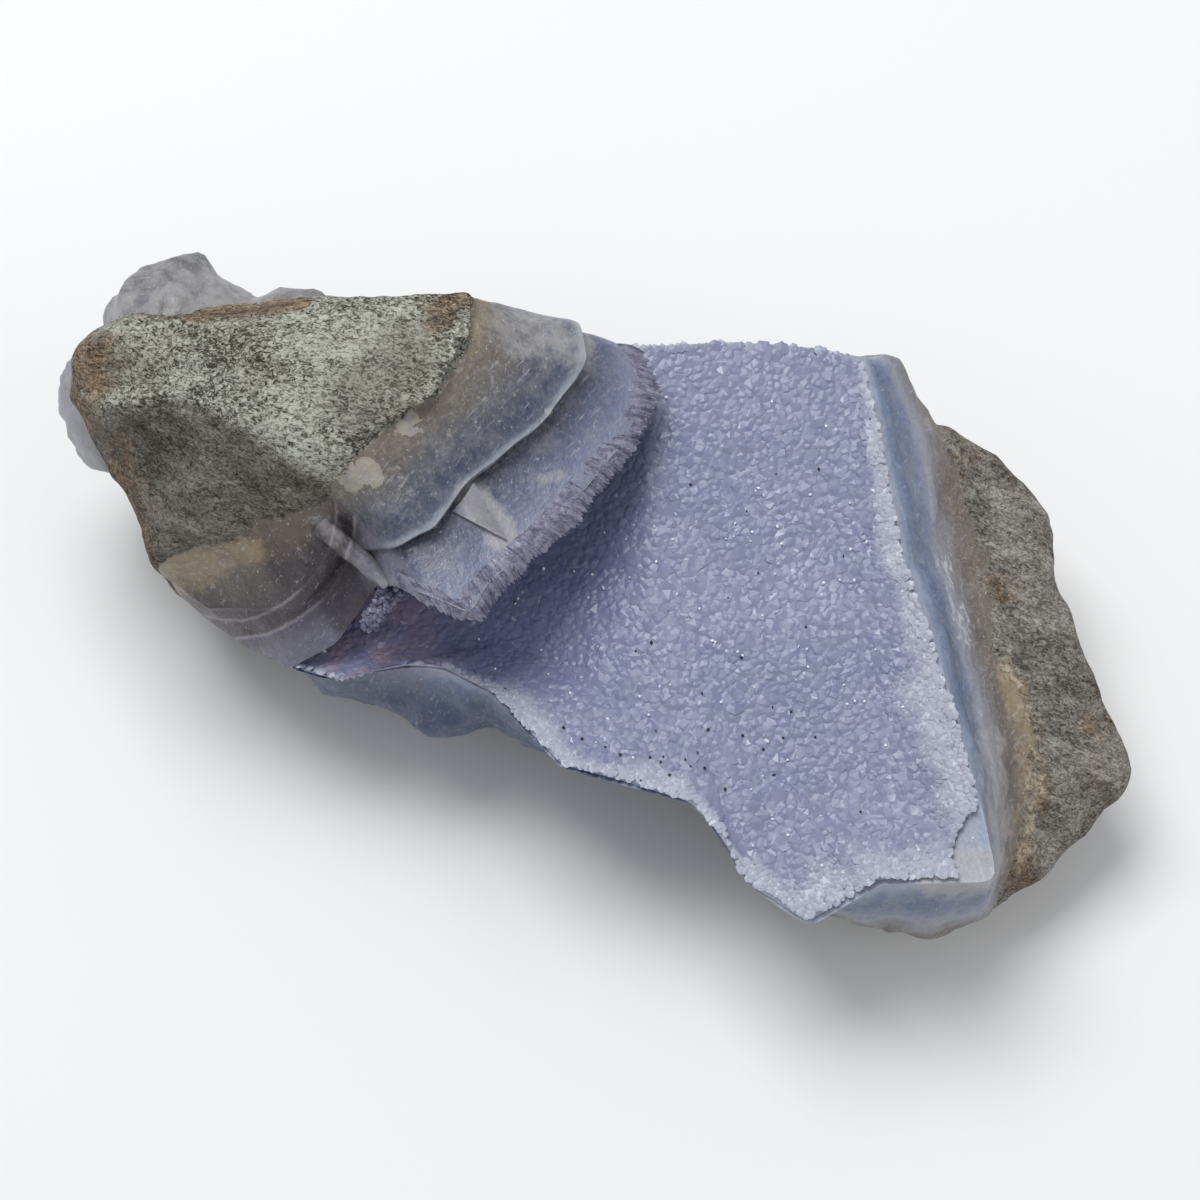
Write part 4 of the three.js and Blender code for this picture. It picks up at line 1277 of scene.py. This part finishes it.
    def crystals(
        self,
        roots: np.ndarray,
        lean: np.ndarray,
        size: np.ndarray,
        tall: np.ndarray,
        edge: np.ndarray,
        shanks: bool = False,
    ) -> Shape:
        """Six-sided points: a ring of corners, a tip above it and a foot below it.

        With a shank there are two rings, and the point is as high as half its width. One facet of a few
        points gets a painted glint, and with shanks every facet a faint one.

        Args:
            roots: Where each crystal stands, in mm.
            lean: The way each one points.
            size: The width of each one in mm.
            tall: The height of each one in mm.
            edge: How sugary each one is.
            shanks: Whether the crystals are prisms under their points.

        Returns:
            The crystals as one shape.
        """
        rng, count, lean = self.rng, len(roots), unit(lean)
        ring, slide = self.spokes(lean, size)
        around = roots[:, None] + ring
        rings = [around]
        if shanks:
            shank = np.maximum(tall - 0.5 * size, 0.1)
            rings = [around - lean[:, None] * 0.3, around + lean[:, None] * shank[:, None, None]]
        tip = roots + lean * tall[:, None] + slide
        foot = roots - lean * (0.45 if shanks else 0.3)
        corners = np.concatenate([*rings, tip[:, None], foot[:, None]], 1)
        each = corners.shape[1]
        after = (SIX + 1) % 6
        top = each - 8
        point = np.stack([SIX + top, after + top, np.full(6, each - 2)], 1)
        root = np.stack([after, SIX, np.full(6, each - 1)], 1)
        kinds = [np.concatenate([point, root])]
        # painted glints: a lighter facet on a few crystals, and with shanks a faint one on every facet
        if shanks:
            kinds.insert(0, np.stack([SIX, after, after + 6, SIX + 6], 1))
            glow = 0.2 * rng.random(count * 18) ** 4
        else:
            lit = rng.random(count)[:, None] < self.lit_share
            lit = lit & (np.arange(12)[None] == rng.integers(0, 6, count)[:, None])
            glow = (lit * (0.35 + 0.65 * rng.random(count))[:, None]).ravel()
        starts = (np.arange(count) * each)[:, None, None]
        faces = [(corner[None] + starts).reshape(-1, corner.shape[1]) for corner in kinds]
        points = corners.reshape(-1, 3)
        numbers = self.numbers(points, np.repeat(rng.random(count), each), np.repeat(edge, each))
        return Shape(points, faces, numbers, {"bright": glow})


def normals_open(grid: np.ndarray) -> np.ndarray:
    """Normals of an open grid: the cross product of its steps down and along."""
    return unit(np.cross(np.gradient(grid, axis=0), np.gradient(grid, axis=1)))


def between(outer: np.ndarray, inner: np.ndarray) -> Shape:
    """A closed sheet between two grids of the same size, stitched around its border.

    Args:
        outer: The grid on the side that its faces look to.
        inner: The other grid.

    Returns:
        The closed shape.
    """
    rows, columns = outer.shape[:2]
    index = np.arange(rows * columns).reshape(rows, columns)
    quads = np.stack([index[:-1, :-1], index[1:, :-1], index[1:, 1:], index[:-1, 1:]], -1).reshape(-1, 4)
    under = quads[:, ::-1] + rows * columns
    loop = np.concatenate([index[0, :-1], index[:-1, -1], index[-1, :0:-1], index[:0:-1, 0]])
    after = np.roll(loop, -1)
    border = np.stack([loop, after, after + rows * columns, loop + rows * columns], -1)
    return Shape(np.concatenate([outer.reshape(-1, 3), inner.reshape(-1, 3)]), [quads, under, border])


def scattered(
    rng: np.random.Generator, low: Sequence[float], high: Sequence[float], spacing: float
) -> np.ndarray:
    """A lattice of triangles over a rectangle, each point moved at random by up to a third of a step.

    Args:
        rng: The source of the random numbers.
        low: The rectangle's low corner in mm.
        high: The rectangle's high corner in mm.
        spacing: The lattice's step in mm.

    Returns:
        The x and y of each point.
    """
    row_step = spacing * math.sqrt(3.0) / 2.0
    columns = np.arange(math.ceil((high[0] - low[0]) / spacing))
    rows = np.arange(math.ceil((high[1] - low[1]) / row_step))
    i, j = np.meshgrid(columns, rows, indexing="ij")
    places = np.stack([low[0] + spacing * (i + 0.5 * (j % 2)), low[1] + row_step * j], -1).reshape(-1, 2)
    return places + spacing * 0.66 * (rng.random(places.shape) - 0.5)


def slope_normals(
    height: Callable[[np.ndarray], np.ndarray], places: np.ndarray, step: float = 0.8
) -> np.ndarray:
    """Upward normals of a height field, from the heights a step away along x and y.

    Args:
        height: The height over places.
        places: The x and y of each place in mm.
        step: The step in mm.

    Returns:
        One unit vector for each place.
    """
    slopes = [(height(places + way) - height(places - way)) / (2.0 * step) for way in step * np.eye(2)]
    return unit(np.stack([-slopes[0], -slopes[1], np.ones(len(places))], 1))


# Finishes


Tint = tuple[float, float, float]  # red, green and blue, from 0 to 255 on a screen
Stops = Sequence[tuple[float, Tint]]
Socket = bpy.types.NodeSocket


def paint(red: float, green: float, blue: float) -> tuple[float, float, float, float]:
    """A colour given as 0 to 255 on a screen, as the linear colour that a shader takes."""
    parts = [c / 255.0 for c in (red, green, blue)]
    linear = [c / 12.92 if c <= 0.04045 else ((c + 0.055) / 1.055) ** 2.4 for c in parts]
    return (linear[0], linear[1], linear[2], 1.0)


class Value:
    """A number that varies over a surface, on which sums can be written."""

    def __init__(self, recipe: Recipe, socket: bpy.types.NodeSocket) -> None:
        """Keeps the socket and the recipe that its sums are added to."""
        self.recipe = recipe
        self.socket = socket

    def __add__(self, other: Any) -> Value:
        """self + other."""
        return self.recipe.maths("ADD", self, other)

    def __sub__(self, other: Any) -> Value:
        """self - other."""
        return self.recipe.maths("SUBTRACT", self, other)

    def __rsub__(self, other: Any) -> Value:
        """other - self."""
        return self.recipe.maths("SUBTRACT", other, self)

    def __mul__(self, other: Any) -> Value:
        """self * other."""
        return self.recipe.maths("MULTIPLY", self, other)

    def __rmul__(self, other: Any) -> Value:
        """other * self."""
        return self.recipe.maths("MULTIPLY", other, self)

    def __truediv__(self, other: Any) -> Value:
        """self / other."""
        return self.recipe.maths("DIVIDE", self, other)

    def rise(self, low: float, high: float) -> Value:
        """0 below `low`, 1 above `high`, and smooth between."""
        inputs = {"Value": self, "From Min": low, "From Max": high}
        node = self.recipe.node("ShaderNodeMapRange", {"interpolation_type": "SMOOTHSTEP"}, inputs)
        return Value(self.recipe, node.outputs["Result"])

    def fall(self, low: float, high: float) -> Value:
        """1 below `low`, 0 above `high`, and smooth between."""
        return 1.0 - self.rise(low, high)


class Recipe:
    """A material in the making, and the methods that add its nodes."""

    def __init__(self, name: str) -> None:
        """Starts an empty material.

        Args:
            name: The material's name.
        """
        self.material = bpy.data.materials.new(name)
        self.material.use_nodes = True
        self.tree = self.material.node_tree
        self.tree.nodes.clear()
        self.place = self.node("ShaderNodeTexCoord").outputs["Object"]

    def node(
        self, kind: str, settings: dict[str, Any] | None = None, sockets: dict[Any, Any] | None = None
    ) -> bpy.types.Node:
        """Adds a node.

        Args:
            kind: The node's type.
            settings: Its settings, set first. `stops` gives a ramp's places and colours.
            sockets: A number, colour, link or value for each input, by name or index.

        Returns:
            The node.
        """
        node = self.tree.nodes.new(kind)
        for key, setting in (settings or {}).items():
            if key == "stops":
                self.set_stops(node.color_ramp, setting)
            else:
                setattr(node, key, setting)
        for key, given in (sockets or {}).items():
            socket = node.inputs[key]
            given = given.socket if isinstance(given, Value) else given
            if isinstance(given, Socket):
                self.tree.links.new(given, socket)
            else:
                socket.default_value = given
        return node

    @staticmethod
    def set_stops(ramp: bpy.types.ColorRamp, stops: Stops) -> None:
        """Gives a ramp its places and tints."""
        while len(ramp.elements) < len(stops):
            ramp.elements.new(1.0)
        for element, (position, tint) in zip(ramp.elements, stops):
            element.position = position
            element.color = paint(*tint)

    def maths(self, operation: str, first: Any, second: Any) -> Value:
        """Adds a Math node for two numbers."""
        node = self.node("ShaderNodeMath", {"operation": operation}, {0: first, 1: second})
        return Value(self, node.outputs[0])

    def number(self, name: str) -> Value:
        """The number of that name that the mesh keeps for each point."""
        return Value(self, self.node("ShaderNodeAttribute", {"attribute_name": name}).outputs["Fac"])

    def noise(
        self, size_mm: float, detail: float = 2.0, rough: float = 0.5, place: Any = None, twist: float = 0.0
    ) -> Value:
        """Noise whose lumps are about `size_mm` across, from 0 to 1."""
        inputs = {"Vector": place or self.place, "Scale": 1.0 / (size_mm * MM), "Detail": detail}
        inputs.update({"Roughness": rough, "Distortion": twist})
        return Value(self, self.node("ShaderNodeTexNoise", None, inputs).outputs["Fac"])

    def uneven(self, amount: float, *noise: Any) -> Value:
        """Noise about 0: amount * (noise - 0.5)."""
        return (self.noise(*noise) - 0.5) * amount

    def marked(self, name: str, amount: float, noise: Sequence[Any], low: float, high: float) -> Value:
        """Where the mesh's number of that name rises from `low` to `high`, with an uneven border."""
        return (self.number(name) + self.uneven(amount, *noise)).rise(low, high)

    def stretched(self, scale: Sequence[float], degrees: float) -> Socket:
        """The place on the piece, stretched and turned about the upright."""
        inputs = {"Vector": self.place, "Rotation": (0.0, 0.0, math.radians(degrees)), "Scale": scale}
        return self.node("ShaderNodeMapping", {"vector_type": "TEXTURE"}, inputs).outputs[0]

    def mix(self, share: Any, first: Any, second: Any, blend_type: str = "MIX") -> Socket:
        """A colour between two colours."""
        settings = {"data_type": "RGBA", "blend_type": blend_type}
        return self.node("ShaderNodeMix", settings, {0: share, 6: first, 7: second}).outputs[2]

    def cover(self, colour: Any, share: Any, tint: Tint) -> Socket:
        """A colour that a tint covers by a share."""
        return self.mix(share, colour, paint(*tint))

    def ramp(self, value: Value, stops: Stops) -> Socket:
        """A colour looked up along a row of tints."""
        return self.node("ShaderNodeValToRGB", {"stops": stops}, {"Fac": value}).outputs["Color"]

    def bump(self, height: Value, distance_mm: float, strength: float = 1.0, under: Any = None) -> Socket:
        """A bumped normal from a height of 0 to 1."""
        inputs = {"Height": height, "Distance": distance_mm * MM, "Strength": strength}
        if under is not None:
            inputs["Normal"] = under
        return self.node("ShaderNodeBump", None, inputs).outputs["Normal"]

    def shader(self, **sockets: Any) -> Socket:
        """A Principled shader; a name's underscores stand for spaces."""
        inputs = {key.replace("_", " "): given for key, given in sockets.items()}
        return self.node("ShaderNodeBsdfPrincipled", None, inputs).outputs[0]

    def finish(self, surface: Socket) -> bpy.types.Material:
        """Links the surface to the output."""
        self.node("ShaderNodeOutputMaterial", None, {"Surface": surface})
        return self.material


@dataclass(frozen=True)
class RockColours:
    """The host rock: a grey-green granular rock with dark flecks and rusty stains."""

    light: Tint = (184, 186, 174)
    middle: Tint = (138, 139, 127)
    dark: Tint = (66, 63, 54)
    grey: Tint = (127, 121, 115)
    soot: Tint = (70, 64, 58)
    ash: Tint = (174, 170, 164)
    warm: Tint = (140, 122, 108)
    tan: Tint = (162, 133, 100)
    rust: Tint = (108, 87, 67)
    crack: Tint = (44, 36, 28)
    straw: Tint = (214, 203, 182)
    gold: Tint = (182, 166, 142)
    # what the painted shade on the block's front multiplies the rock's colour by
    shaded: tuple[float, float, float, float] = (0.47, 0.45, 0.41, 1.0)


ROCK_LAYER = 5.0  # the layer at which the rock begins


@dataclass(frozen=True)
class AgateColours:
    """The agate by its layer, from 0 at the druse to 5 at the rock, in three places."""

    # On the block, the darkening from 1.9 to 2.8, the foot of the ledge, is painted shadow under the ledge
    # over the agate's own blue-grey.
    block: Stops = (
        (0.0, (118, 116, 132)), (0.35, (124, 126, 146)), (0.8, (122, 128, 155)), (1.4, (106, 112, 140)),
        (1.9, (88, 93, 119)), (2.4, (70, 74, 98)), (2.8, (56, 60, 82)), (2.92, (78, 82, 100)),
        (2.98, (154, 158, 171)), (3.08, (150, 155, 168)), (3.18, (86, 93, 113)), (3.4, (60, 68, 92)),
        (4.0, (88, 90, 98)), (4.5, (110, 108, 103)), (5.0, (134, 126, 112)),
    )
    slab: Stops = (
        (0.0, (168, 172, 190)), (0.4, (150, 161, 186)), (0.9, (114, 130, 160)), (1.5, (92, 107, 138)),
        (2.3, (118, 129, 156)), (2.9, (150, 154, 167)), (3.3, (136, 137, 147)), (3.9, (124, 120, 120)),
        (4.4, (108, 101, 97)), (5.0, (110, 102, 95)),
    )
    recess: Stops = (
        (0.0, (104, 95, 83)), (8.0, (94, 87, 80)), (10.6, (74, 67, 68)), (11.65, (68, 61, 66)),
        (11.85, (140, 134, 141)), (12.1, (72, 65, 71)), (13.5, (70, 64, 72)), (13.75, (146, 141, 150)),
        (14.05, (90, 87, 101)), (15.6, (112, 110, 126)), (18.0, (116, 117, 134)), (20.0, (118, 116, 134)),
    )
    recess_reach: float = 20.0
    chip: Tint = (186, 180, 166)
    milky: Tint = (170, 168, 168)
    crystal: Tint = (170, 166, 164)
    amber: Tint = (160, 142, 108)
    brown: Tint = (112, 98, 84)
    slate: Tint = (60, 73, 102)
    # the painted shadow in the recess around the finger; also small random dark spots on the agate
    dusk: Tint = (56, 49, 57)
    flake: Tint = (190, 192, 196)
    scratch: Tint = (172, 175, 186)
    fleck: Tint = (200, 202, 210)
    # painted sparkle: glints on the crystalline zone near the rock
    painted_sparkle: Tint = (208, 204, 200)


@dataclass(frozen=True)
class StoneFinish:
    """The finish of the stone: rock and agate, parted by the layer that each point lies in."""

    rock: RockColours = RockColours()
    agate: AgateColours = AgateColours()

    def build(self) -> bpy.types.Material:
        """Makes the material.

        Returns:
            The material.
        """
        r = Recipe("rock and agate")
        layer = r.number("layer")
        ragged = r.uneven(1.4, 5.0, 4.0, 0.6) + r.uneven(0.3, 0.9, 2.0)
        rocky = (layer + ragged).rise(4.88, 5.02)
        rock, rock_bump = self.rock_look(r)
        agate, agate_bump = self.agate_look(r, layer)
        stone = r.shader(Base_Color=rock, Roughness=0.85, Normal=rock_bump, Specular_IOR_Level=0.3)
        glassy = r.shader(
            Base_Color=agate,
            Roughness=r.noise(3.0, 3.0) * 0.25 + 0.26,
            Normal=agate_bump,
            Subsurface_Weight=0.3,
            Subsurface_Radius=(0.8, 0.9, 1.2),
            Subsurface_Scale=1.2 * MM,
        )
        return r.finish(r.node("ShaderNodeMixShader", None, {0: rocky, 1: glassy, 2: stone}).outputs[0])

    def rock_look(self, r: Recipe) -> tuple[Socket, Socket]:
        """The rock's colour and relief: wriggling dark and light grains, warm stains, rust and cracks, and
        painted shade that darkens and greys the block's front face.

        Args:
            r: The material in the making.

        Returns:
            The colour and the normal.
        """
        c = self.rock
        right = r.number("kind")
        flow = r.stretched((1.5, 1.0, 1.0), -8.0)
        grain = r.noise(0.36, 3.0, 0.62, flow, 1.1)
        clumps = r.noise(1.8, 3.0, 0.6, flow, 0.6)
        broad = r.noise(11.0, 3.0, 0.55)
        seams = r.noise(2.4, 4.0, 0.65, r.stretched((3.5, 1.0, 1.0), -20.0), 0.8)
        streak = r.noise(1.6, 3.0, 0.6, r.stretched((6.0, 1.6, 1.0), 12.0))
        fibre = r.noise(0.8, 3.0, 0.6, r.stretched((5.0, 1.0, 1.0), -32.0), 0.8)

        mixed = grain * 0.72 + clumps * 0.2 + broad * 0.18
        colour = r.ramp(mixed, ((0.46, c.dark), (0.535, c.middle), (0.61, c.light)))
        # painted shade: the block's front face, and patches on its top, are made greyer and darker
        shade = r.marked("shade", 0.4, (3.0, 3.0, 0.6), 0.1, 0.9)
        greyer = 1.0 - (1.0 - right * 0.85) * (1.0 - shade * 0.75)
        veined = grain * 0.45 + seams * 0.45 + broad * 0.1
        colour = r.mix(greyer, colour, r.ramp(veined, ((0.41, c.soot), (0.52, c.grey), (0.62, c.ash))))
        # painted shade: the shaded front is darkened by the shaded multiply
        colour = r.mix(shade * 0.8, colour, r.mix(1.0, colour, c.shaded, "MULTIPLY"))
        warm = r.noise(8.0, 4.0, 0.6).rise(0.5, 0.7)
        colour = r.mix(warm * 0.4, colour, r.mix(1.0, colour, paint(*c.warm), "OVERLAY"))

        rusty = r.marked("stain", 1.6, (2.0, 4.0, 0.7), 0.25, 1.0)
        rust = r.ramp(streak * 0.4 + grain * 0.6, ((0.41, c.crack), (0.5, c.rust), (0.62, c.tan)))
        colour = r.mix(rusty * 0.8, colour, rust)
        golden = (r.number("amber") * right + r.uneven(2.0, 1.6, 4.0, 0.65)).rise(0.5, 1.0)
        gold = r.ramp(r.noise(0.6, 3.0, 0.7), ((0.36, c.rust), (0.5, c.gold), (0.64, c.straw)))
        colour = r.mix(golden * 0.7, colour, gold)
        colour = r.cover(colour, fibre.rise(0.58, 0.74) * right * 0.4, c.light)
        colour = r.cover(colour, r.marked("crack", 1.0, (0.8, 3.0), 0.6, 1.1) * 0.65, c.crack)
        relief = r.bump(grain, 0.25, 0.85)
        relief = r.bump(clumps, 0.7, 0.9, relief)
        return colour, r.bump(fibre, 0.5, 0.7, relief)

    def agate_look(self, r: Recipe, layer: Value) -> tuple[Socket, Socket]:
        """The agate's colour and relief: its layers, then all that covers them, each by its own share.

        Args:
            r: The material in the making.
            layer: The layer that each point lies in.

        Returns:
            The colour and the normal.
        """
        c = self.agate
        recess, blue = r.number("recess"), r.number("blue")
        sliver = r.noise(0.5, 3.0, 0.7, r.stretched((1.0, 3.0, 2.0), 10.0), 0.6)
        scratch = r.noise(0.32, 2.0, 0.6, r.stretched((1.0, 7.0, 3.0), -38.0))
        streaks = r.noise(2.2, 4.0, 0.62, r.stretched((1.0, 3.0, 1.5), -10.0), 0.6)

        block = (layer + r.uneven(0.06, 6.0, 3.0, 0.55) + r.uneven(0.03, 1.1, 2.0)) / ROCK_LAYER
        lace = r.uneven(1.9, 3.0, 4.0, 0.6, r.stretched((1.0, 4.0, 1.6), 11.4591559))
        slab = (block * ROCK_LAYER + lace) / ROCK_LAYER
        bands = [r.ramp(at, self.shares(row, ROCK_LAYER)) for at, row in ((block, c.block), (slab, c.slab))]
        colour = r.mix(r.number("kind"), *bands)
        ring = (r.number("arc") + r.uneven(0.7, 5.0, 3.0, 0.5) + r.uneven(0.1, 0.8, 2.0)) / c.recess_reach
        colour = r.mix(recess, colour, r.ramp(ring, self.shares(c.recess, c.recess_reach)))

        # painted shadow in the recess around the finger
        dusk = r.marked("dusk", 0.7, (2.0, 3.0, 0.6), 0.2, 1.0)
        clouds = r.noise(3.5, 4.0, 0.6).rise(0.46, 0.72)
        near_rock = (layer + r.uneven(1.6, 2.6, 3.0, 0.6)).rise(3.8, 4.7)
        amber = r.marked("amber", 1.5, (2.4, 4.0, 0.65), 0.4, 1.0)
        zone = (layer + r.uneven(2.0, 4.0, 2.0)).rise(3.4, 4.0)
        chip_tint = r.mix(r.noise(0.7, 3.0, 0.6).rise(0.35, 0.6), paint(*c.milky), paint(*c.chip))
        chipped = r.marked("chips", 1.5, (1.4, 4.0, 0.7, None, 1.0), 0.36, 0.46)
        covers = (
            # painted shadow in the recess
            (dusk * recess * 0.85, paint(*c.dusk)),
            (clouds * (0.25 - 0.18 * recess), paint(*c.milky)),
            (near_rock * (0.55 - 0.5 * blue), paint(*c.brown)),
            (amber * 0.65, paint(*c.amber)),
            (r.noise(1.3, 4.0, 0.7, None, 0.3).rise(0.58, 0.68) * zone * 0.5, paint(*c.crystal)),
            (r.noise(0.6, 4.0, 0.7).rise(0.44, 0.62) * (0.16 - 0.1 * recess), paint(*c.milky)),
            (r.noise(0.9, 4.0, 0.7, None, 0.4).fall(0.36, 0.5) * 0.16, paint(*c.dusk)),
            (blue * (streaks.rise(0.3, 0.6) * 0.35 + 0.6), paint(*c.slate)),
            # painted sparkle on the crystalline zone near the rock
            (r.noise(0.5, 3.0, 0.7).rise(0.64, 0.7) * zone * 0.5, paint(*c.painted_sparkle)),
            (r.marked("milky", 0.9, (1.8, 4.0, 0.6), 0.3, 0.75) * 0.7, paint(*c.milky)),
            (chipped * 0.62, chip_tint),
            ((r.number("flakes") * 0.5 + sliver).rise(0.98, 1.1) * 0.8, paint(*c.flake)),
            (scratch.rise(0.6, 0.74) * 0.4, paint(*c.scratch)),
            (r.noise(0.3, 1.0).rise(0.7, 0.78) * 0.5, paint(*c.fleck)),
        )
        for share, tint in covers:
            colour = r.mix(share, colour, tint)
        relief = r.bump(r.noise(1.6, 4.0, 0.6), 0.3, 0.6)
        relief = r.bump(sliver, 0.25, 0.6, relief)
        return colour, r.bump(scratch, 0.1, 0.5, relief)

    @staticmethod
    def shares(stops: Stops, reach: float) -> Stops:
        """Stops whose places are shares of a reach."""
        return [(at / reach, tint) for at, tint in stops]


@dataclass(frozen=True)
class DruseFinish:
    """The finish of the quartz: milky lavender, sugary white at its rim and violet in the hollow."""

    lavender: Tint = (121, 127, 157)
    lilac: Tint = (134, 136, 163)
    # the painted glint on lit facets
    pale: Tint = (196, 199, 216)
    sugar: Tint = (184, 188, 202)
    violet: Tint = (121, 124, 168)
    dusk: Tint = (168, 148, 166)
    black: Tint = (36, 34, 42)
    # the white grains, painted glints
    white: Tint = (246, 246, 250)
    mauve: Tint = (134, 131, 154)
    plum: Tint = (80, 79, 106)

    def build(self) -> bpy.types.Material:
        """Makes the material.

        Returns:
            The material.
        """
        r = Recipe("quartz druse")
        tone, edge, deep, dusky, speck, bright = (
            r.number(name) for name in ("tone", "edge", "deep", "dusky", "speck", "bright")
        )
        cloudy = (r.noise(0.8, 4.0, 0.7) + tone * 0.2).rise(0.42, 0.78)
        broken = r.mix(cloudy, paint(*self.plum), paint(*self.mauve))
        colour = r.mix(r.noise(9.0, 4.0, 0.6).rise(0.35, 0.7), paint(*self.lavender), paint(*self.lilac))
        for share, tint in (
            (deep * 0.5, paint(*self.violet)),
            (dusky * r.noise(4.0, 3.0).rise(0.35, 0.6) * 0.7, paint(*self.dusk)),
            (tone * 0.12, paint(*self.violet)),
            ((edge + r.uneven(0.5, 2.4, 3.0)).rise(0.15, 0.9) * 0.75, paint(*self.sugar)),
            (speck.rise(0.1, 0.2), broken),
            # painted glints on lit facets
            (bright * 0.7, paint(*self.pale)),
            (speck.rise(0.4, 0.6), paint(*self.black)),
            # white grains: painted glints
            (speck.fall(-0.6, -0.4), paint(*self.white)),
        ):
            colour = r.mix(share, colour, tint)
        glassy = r.shader(
            Base_Color=colour,
            Roughness=0.46 - tone * 0.16,
            Normal=r.bump(r.noise(0.35, 2.0), 0.04, 0.3),
            IOR=1.54,
        )
        return r.finish(glassy)


# The studio


@dataclass(frozen=True)
class Studio:
    """A pale floor, a large soft light overhead, a weaker one from the front and a camera."""

    target: tuple[float, float, float] = (0.0, 0.0, 25.0)
    lens: float = 100.0
    sensor: float = 36.0
    frame_width: float = 120.0
    aim: tuple[float, float, float] = (0.0, 0.0, 0.02)
    lights: Sequence[tuple[str, Sequence[float], float, float]] = (
        ("overhead", (-0.14, 0.20, 0.60), 0.36, 2.8),
        ("right fill", (0.45, -0.25, 0.45), 0.40, 0.5),
    )
    sky: tuple[float, float, float, float] = (0.95, 0.97, 1.0, 1.0)
    sky_strength: float = 0.45
    floor_side: float = 3000.0

    def build(self) -> None:
        """Makes the floor, lights, world and camera."""
        self.floor()
        for light in self.lights:
            self.light(*light)
        self.world()
        self.camera()
        bpy.context.scene.view_settings.view_transform = "Standard"

    def floor(self) -> None:
        """A wide pale floor that isn't part of the object."""
        corners = np.array([[-0.5, -0.5, 0.0], [0.5, -0.5, 0.0], [0.5, 0.5, 0.0], [-0.5, 0.5, 0.0]])
        corners *= self.floor_side
        floor = Shape(corners + CENTRE_ON_BASE, [np.array([[0, 1, 2, 3]])]).to_object("floor")
        r = Recipe("floor")
        floor.data.materials.append(r.finish(r.shader(Base_Color=(0.88, 0.88, 0.88, 1.0), Roughness=0.9)))

    def light(self, name: str, at: Sequence[float], size: float, power: float) -> None:
        """Adds a square soft light.

        Args:
            name: Its name.
            at: Where it is, in metres.
            size: Its side in metres.
            power: Its power in watts.
        """
        data = bpy.data.lights.new(name, "AREA")
        data.size = size
        data.energy = power
        lamp = bpy.data.objects.new(name, data)
        lamp.location = at
        lamp.rotation_euler = self.facing(at, self.aim)
        bpy.context.scene.collection.objects.link(lamp)

    @staticmethod
    def facing(at: Sequence[float], aim: Sequence[float]) -> tuple[float, float, float]:
        """The rotation that turns a light or camera at one point towards another."""
        x, y, z = (b - a for a, b in zip(at, aim))
        return (math.atan2(math.hypot(x, y), -z), 0.0, math.atan2(-x, y))

    def world(self) -> None:
        """An even pale surrounding light."""
        world = bpy.data.worlds.new("studio")
        world.use_nodes = True
        background = world.node_tree.nodes["Background"]
        background.inputs["Color"].default_value = self.sky
        background.inputs["Strength"].default_value = self.sky_strength
        bpy.context.scene.world = world

    def camera(self) -> None:
        """The camera, at the photograph's angle and distance."""
        data = bpy.data.cameras.new("camera")
        data.lens = self.lens
        data.sensor_width = self.sensor
        camera = bpy.data.objects.new("camera", data)
        distance = self.frame_width / 2.0 / (self.sensor / 2.0 / self.lens)
        camera.location = (np.array(self.target) - CENTRE_ON_BASE + SIGHT * distance) * MM
        camera.rotation_euler = (math.pi / 2.0 - ELEVATION, 0.0, 0.0)
        bpy.context.scene.collection.objects.link(camera)
        bpy.context.scene.camera = camera


def dress(piece: bpy.types.Object, node: Node, material: bpy.types.Material) -> None:
    """Gives a piece its finish and says which solid it stands for.

    Args:
        piece: The piece.
        node: The solid.
        material: The finish.
    """
    piece.data.materials.clear()
    piece.data.materials.append(material)
    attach(piece, "root")
    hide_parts(node.value)
    LOG.info("%s: %d faces, stands for %s", piece.name, len(piece.data.polygons), node.value)


def main() -> None:
    """Builds the stone, its druse and the studio, and notes the sizes."""
    logging.basicConfig(level=logging.INFO, format="%(name)s: %(message)s")
    dress(Stone().build(), Node.STONE, StoneFinish().build())
    dress(Druse().build(), Node.CRUST, DruseFinish().build())
    Studio().build()


if __name__ == "__main__":
    main()
